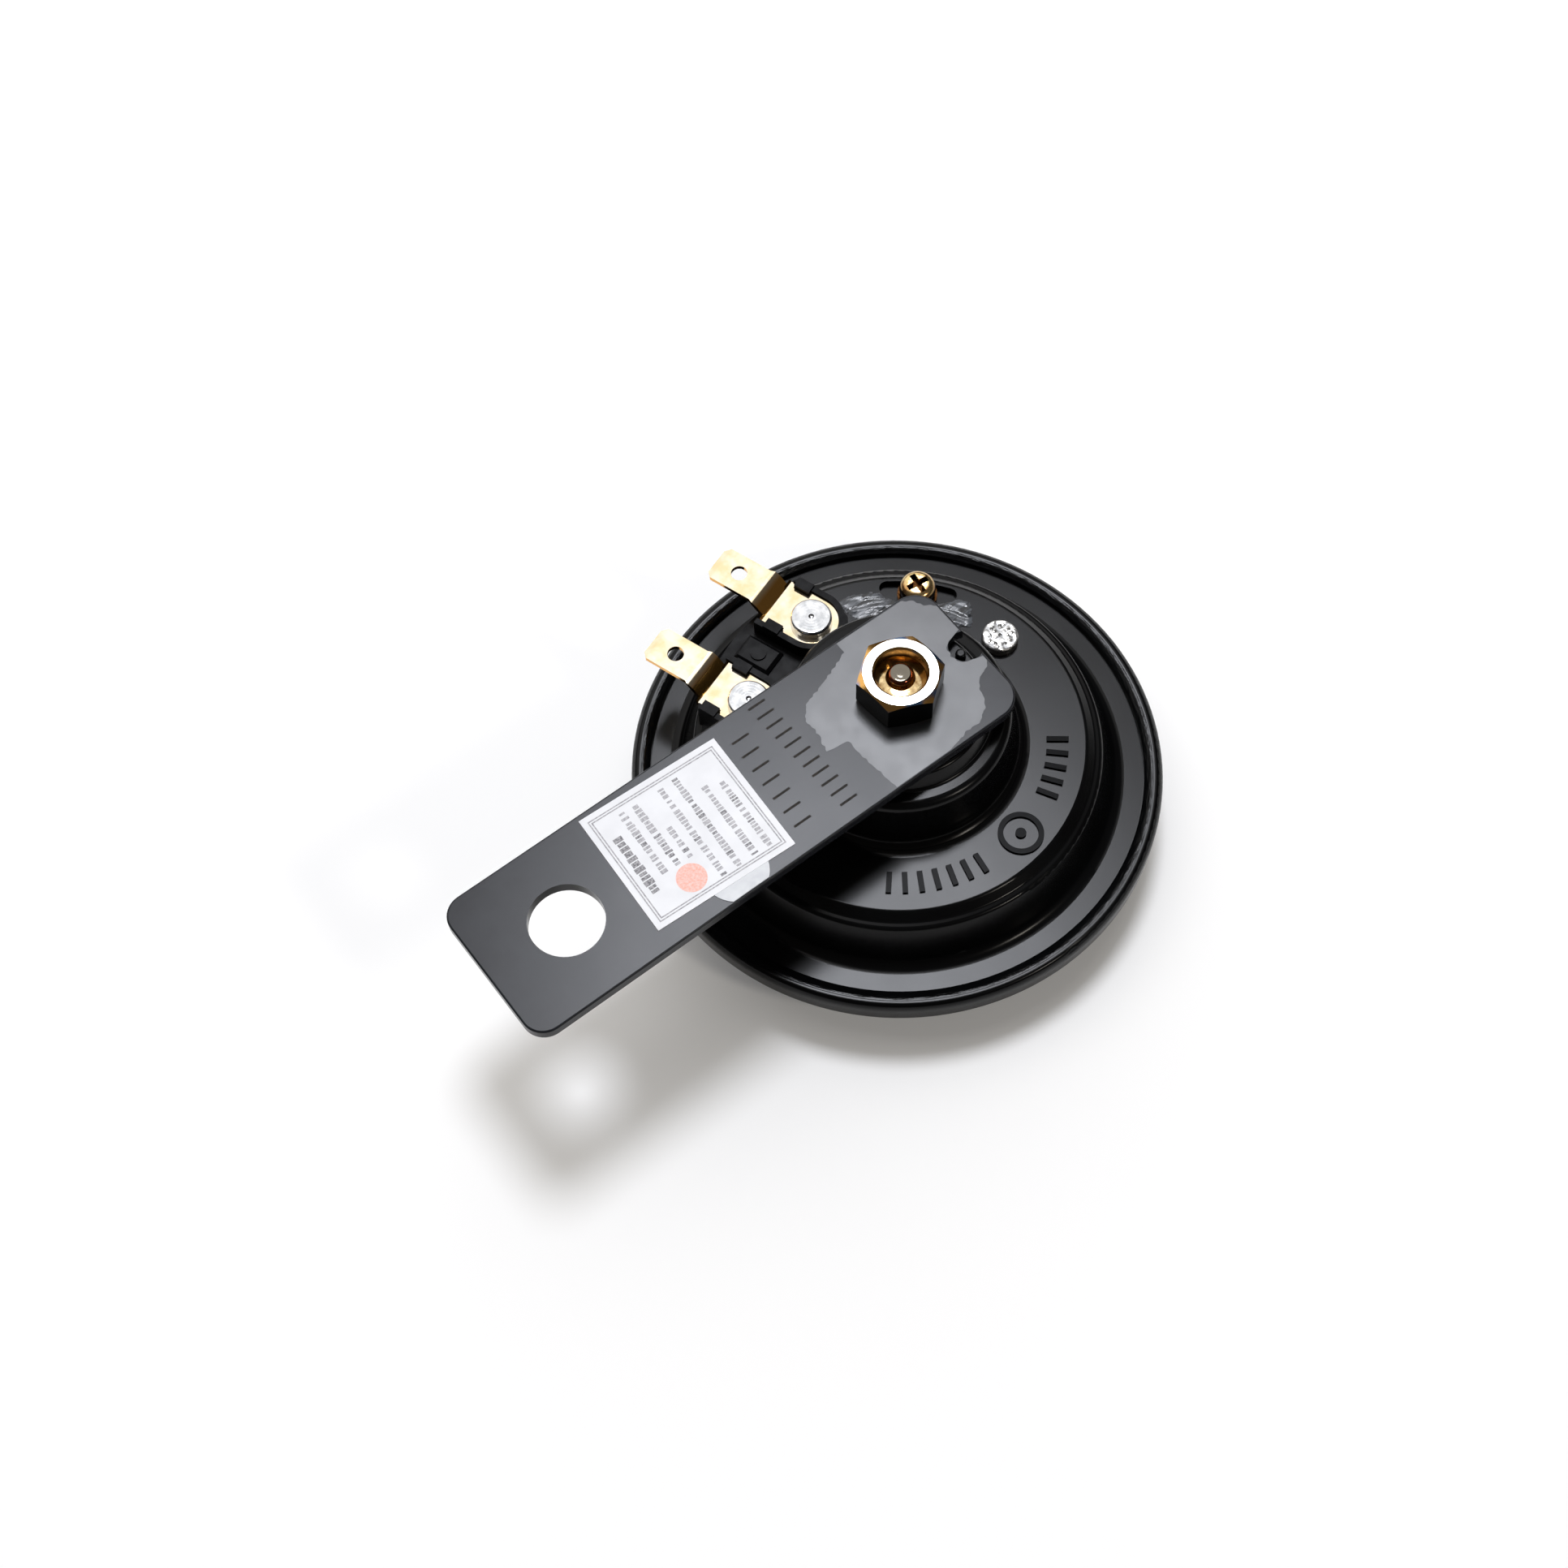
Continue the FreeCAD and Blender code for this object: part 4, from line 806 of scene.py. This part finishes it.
def lacquerHeight(x, y, edge, thickness):
    # thick in the middle, with brush ridges that follow the plateau's edge
    radius, angle = math.hypot(x, y), math.atan2(y, x)
    out, around = radius * lacquerPlan["ridgeOut"], angle * radius * lacquerPlan["ridgeAround"]
    ridge = noise.noise(Vector((out, around, lacquerPlan["seed"])))
    rise = min(edge / lacquerPlan["slope"], 1.0)
    return lacquerPlan["thin"] + (thickness - lacquerPlan["thin"]) * rise * (0.5 + 0.5 * ridge)


def lacquerFilm():
    # a grid over the solid's top, cut off unevenly near its edge
    solid = nodes["adjuster_sealant"]
    corners = [v.co / mm for v in solid.data.vertices]
    tops = [p.vertices[:] for p in solid.data.polygons if p.normal.z > lacquerPlan["flatAbove"]]
    walls = [p.vertices[:] for p in solid.data.polygons if abs(p.normal.z) < lacquerPlan["flatAbove"]]
    flats, sides = BVHTree.FromPolygons(corners, tops), BVHTree.FromPolygons(corners, walls)
    low, high = [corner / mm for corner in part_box("adjuster_sealant")]
    thickness, step = high.z - low.z, lacquerPlan["step"]
    across, along = int((high.x - low.x) / step), int((high.y - low.y) / step)
    found, points, faces = {}, [], []
    for i in range(across + 1):
        for j in range(along + 1):
            x, y = low.x + i * step, low.y + j * step
            edge = sides.find_nearest(Vector((x, y, (low.z + high.z) / 2)))[3]
            ragged = noise.noise(Vector((x, y, 0)) / lacquerPlan["raggedSize"]) * lacquerPlan["ragged"]
            overTop = flats.ray_cast(Vector((x, y, high.z + 1)), Vector((0, 0, -1)))[0]
            if overTop and edge > max(ragged, lacquerPlan["least"]):
                found[i, j] = len(points)
                points.append((x * mm, y * mm, (low.z + lacquerHeight(x, y, edge, thickness)) * mm))
    for i, j in found:
        ring = [(i, j), (i + 1, j), (i + 1, j + 1), (i, j + 1)]
        if all(corner in found for corner in ring):
            faces.append(tuple(found[corner] for corner in ring))
    film = meshPiece("lacquerFilm", points, faces, made["sealant_lacquer"])
    smooth(film)
    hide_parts("adjuster_sealant")


lacquerFilm()
print("lacquer brushed on")


# End of the stud

studEndPlan = {
    # radius and drop below the top at each ring of the turned point
    "profile": [(0.75, 0.02), (1.25, 0.1), (1.65, 0.28), (1.95, 0.56), (2.15, 0.92), (2.3, 1.6)],
    "steps": 96, "above": 0.03,
}


def studEnd():
    # the point is broader and rounder than the solid's, so it is turned again here
    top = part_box("core_stud")[1].z / mm + studEndPlan["above"]
    steps, profile = studEndPlan["steps"], studEndPlan["profile"]
    points, faces = [(0.0, 0.0, top * mm)], []
    for radius, drop in profile:
        for i in range(steps):
            angle = 2 * math.pi * i / steps
            points.append((radius * math.cos(angle) * mm, radius * math.sin(angle) * mm, (top - drop) * mm))
    for i in range(steps):
        j = (i + 1) % steps
        faces.append((0, 1 + i, 1 + j))
        for row in range(len(profile) - 1):
            a, b = 1 + row * steps, 1 + (row + 1) * steps
            faces.append((a + i, b + i, b + j, a + j))
    smooth(meshPiece("studEnd", points, faces, made["stud_steel"]))


studEnd()
print("stud end turned")


# Floor, light and camera

floorLook = {"size": 6.0, "white": "#efefee", "glow": 0.12}  # size in metres


def paperFloor():
    # seamless white paper, which keeps the horn's shadow; only the camera and shiny surfaces see
    # its glow
    material = bpy.data.materials.new("paperFloor")
    material.use_nodes = True
    tree = material.node_tree
    tree.nodes.clear()
    rays = add(tree, "LightPath").outputs
    seen = add(tree, "Math", {0: rays["Is Camera Ray"], 1: rays["Is Glossy Ray"]}, operation="MAXIMUM")
    seen = add(tree, "Math", {0: seen.outputs[0], 1: rays["Is Transmission Ray"]}, operation="MAXIMUM")
    glow = add(tree, "Math", {0: seen.outputs[0], 1: floorLook["glow"]}, operation="MULTIPLY")
    paper = add(tree, "BsdfDiffuse", {"Color": colour(floorLook["white"])})
    light = add(tree, "Emission", {"Strength": glow.outputs[0]})
    both = add(tree, "AddShader", {0: paper.outputs[0], 1: light.outputs[0]})
    add(tree, "OutputMaterial", {"Surface": both.outputs[0]})
    return material


def makeFloor():
    half = floorLook["size"] / 2
    corners = [(-half, -half, 0), (half, -half, 0), (half, half, 0), (-half, half, 0)]
    mesh = bpy.data.meshes.new("floor")
    mesh.from_pydata(corners, [], [(0, 1, 2, 3)])
    mesh.materials.append(paperFloor())
    floor = bpy.data.objects.new("floor", mesh)
    bpy.context.scene.collection.objects.link(floor)


lamps = {
    # angles in degrees, as seen from the horn, with tilt from the vertical, and distance in metres;
    # share is the light that each gives to white paper that faces up
    "keyLamp": {"tilt": 20.7, "azimuth": 53.4, "distance": 2.0, "halfAngle": 8.1, "halfTall": 8.1,
                "share": 0.55, "tint": "#f4f7ff"},
    "softBox": {"tilt": 40.0, "azimuth": 77.0, "distance": 2.0, "halfAngle": 40.0, "halfTall": 40.0,
                "share": 0.4, "tint": "#fffdfb"},
    "stripLamp": {"tilt": 50.0, "azimuth": -74.0, "distance": 2.0, "halfAngle": 4.2, "halfTall": 4.6,
                  "share": 0.1, "tint": "#fff8ec"},
}


def makeLamp(name, lamp):
    tilt, azimuth = math.radians(lamp["tilt"]), math.radians(lamp["azimuth"])
    away = Vector((math.sin(tilt) * math.cos(azimuth), math.sin(tilt) * math.sin(azimuth), math.cos(tilt)))
    light = bpy.data.lights.new(name, "AREA")
    light.shape = "ELLIPSE"
    halves = [math.radians(lamp[key]) for key in ("halfAngle", "halfTall")]
    light.size, light.size_y = [2 * lamp["distance"] * math.tan(half) for half in halves]
    spread = math.cos(halves[0]) * math.cos(halves[1]) * math.cos(tilt)
    light.energy = lamp["share"] * (math.pi * lamp["distance"]) ** 2 / spread
    light.color = colour(lamp["tint"])[:3]
    holder = bpy.data.objects.new(name, light)
    holder.location = away * lamp["distance"]
    holder.rotation_mode = "QUATERNION"
    holder.rotation_quaternion = away.to_track_quat("Z", "Y")
    holder.visible_camera = False
    bpy.context.scene.collection.objects.link(holder)


# light from all round: its level near the horizon and overhead, and the heights of a unit sphere
# between which it changes
dome = {"tint": "#fff5ec", "rimLevel": 0.07, "topLevel": 0.1, "rimHeight": 0.2, "topHeight": 0.9}


def makeWorld():
    world = bpy.data.worlds.new("studio")
    bpy.context.scene.world = world
    world.use_nodes = True
    tree = world.node_tree
    tree.nodes.clear()
    direction = add(tree, "TexCoord").outputs["Generated"]
    up = add(tree, "SeparateXYZ", {0: direction}).outputs[2]
    level = add(tree, "MapRange", {0: up, 1: dome["rimHeight"], 2: dome["topHeight"],
                                   3: dome["rimLevel"], 4: dome["topLevel"]}).outputs[0]
    sky = add(tree, "Background", {"Color": colour(dome["tint"]), "Strength": level})
    add(tree, "OutputWorld", {"Surface": sky.outputs[0]})


cameraView = {
    # place in metres; lens and sensor in mm
    "place": (-0.11395, -0.13153, 0.34507),
    "forward": (0.25951, 0.37273, -0.89092),
    "up": (0.54752, 0.70315, 0.45366),
    "lens": 53.29, "sensor": 36.0, "nearest": 0.01,
}


def makeCamera():
    forward, up = Vector(cameraView["forward"]).normalized(), Vector(cameraView["up"]).normalized()
    right = forward.cross(up).normalized()
    camera = bpy.data.cameras.new("camera")
    camera.lens = cameraView["lens"]
    camera.sensor_width = cameraView["sensor"]
    camera.clip_start = cameraView["nearest"]
    holder = bpy.data.objects.new("camera", camera)
    turn = Matrix((right, right.cross(forward), -forward)).transposed().to_4x4()
    holder.matrix_world = Matrix.Translation(cameraView["place"]) @ turn
    bpy.context.scene.collection.objects.link(holder)
    bpy.context.scene.camera = holder


makeFloor()
for lampName, lamp in lamps.items():
    makeLamp(lampName, lamp)
makeWorld()
makeCamera()
bpy.context.scene.view_settings.view_transform = "Standard"
print("studio ready")
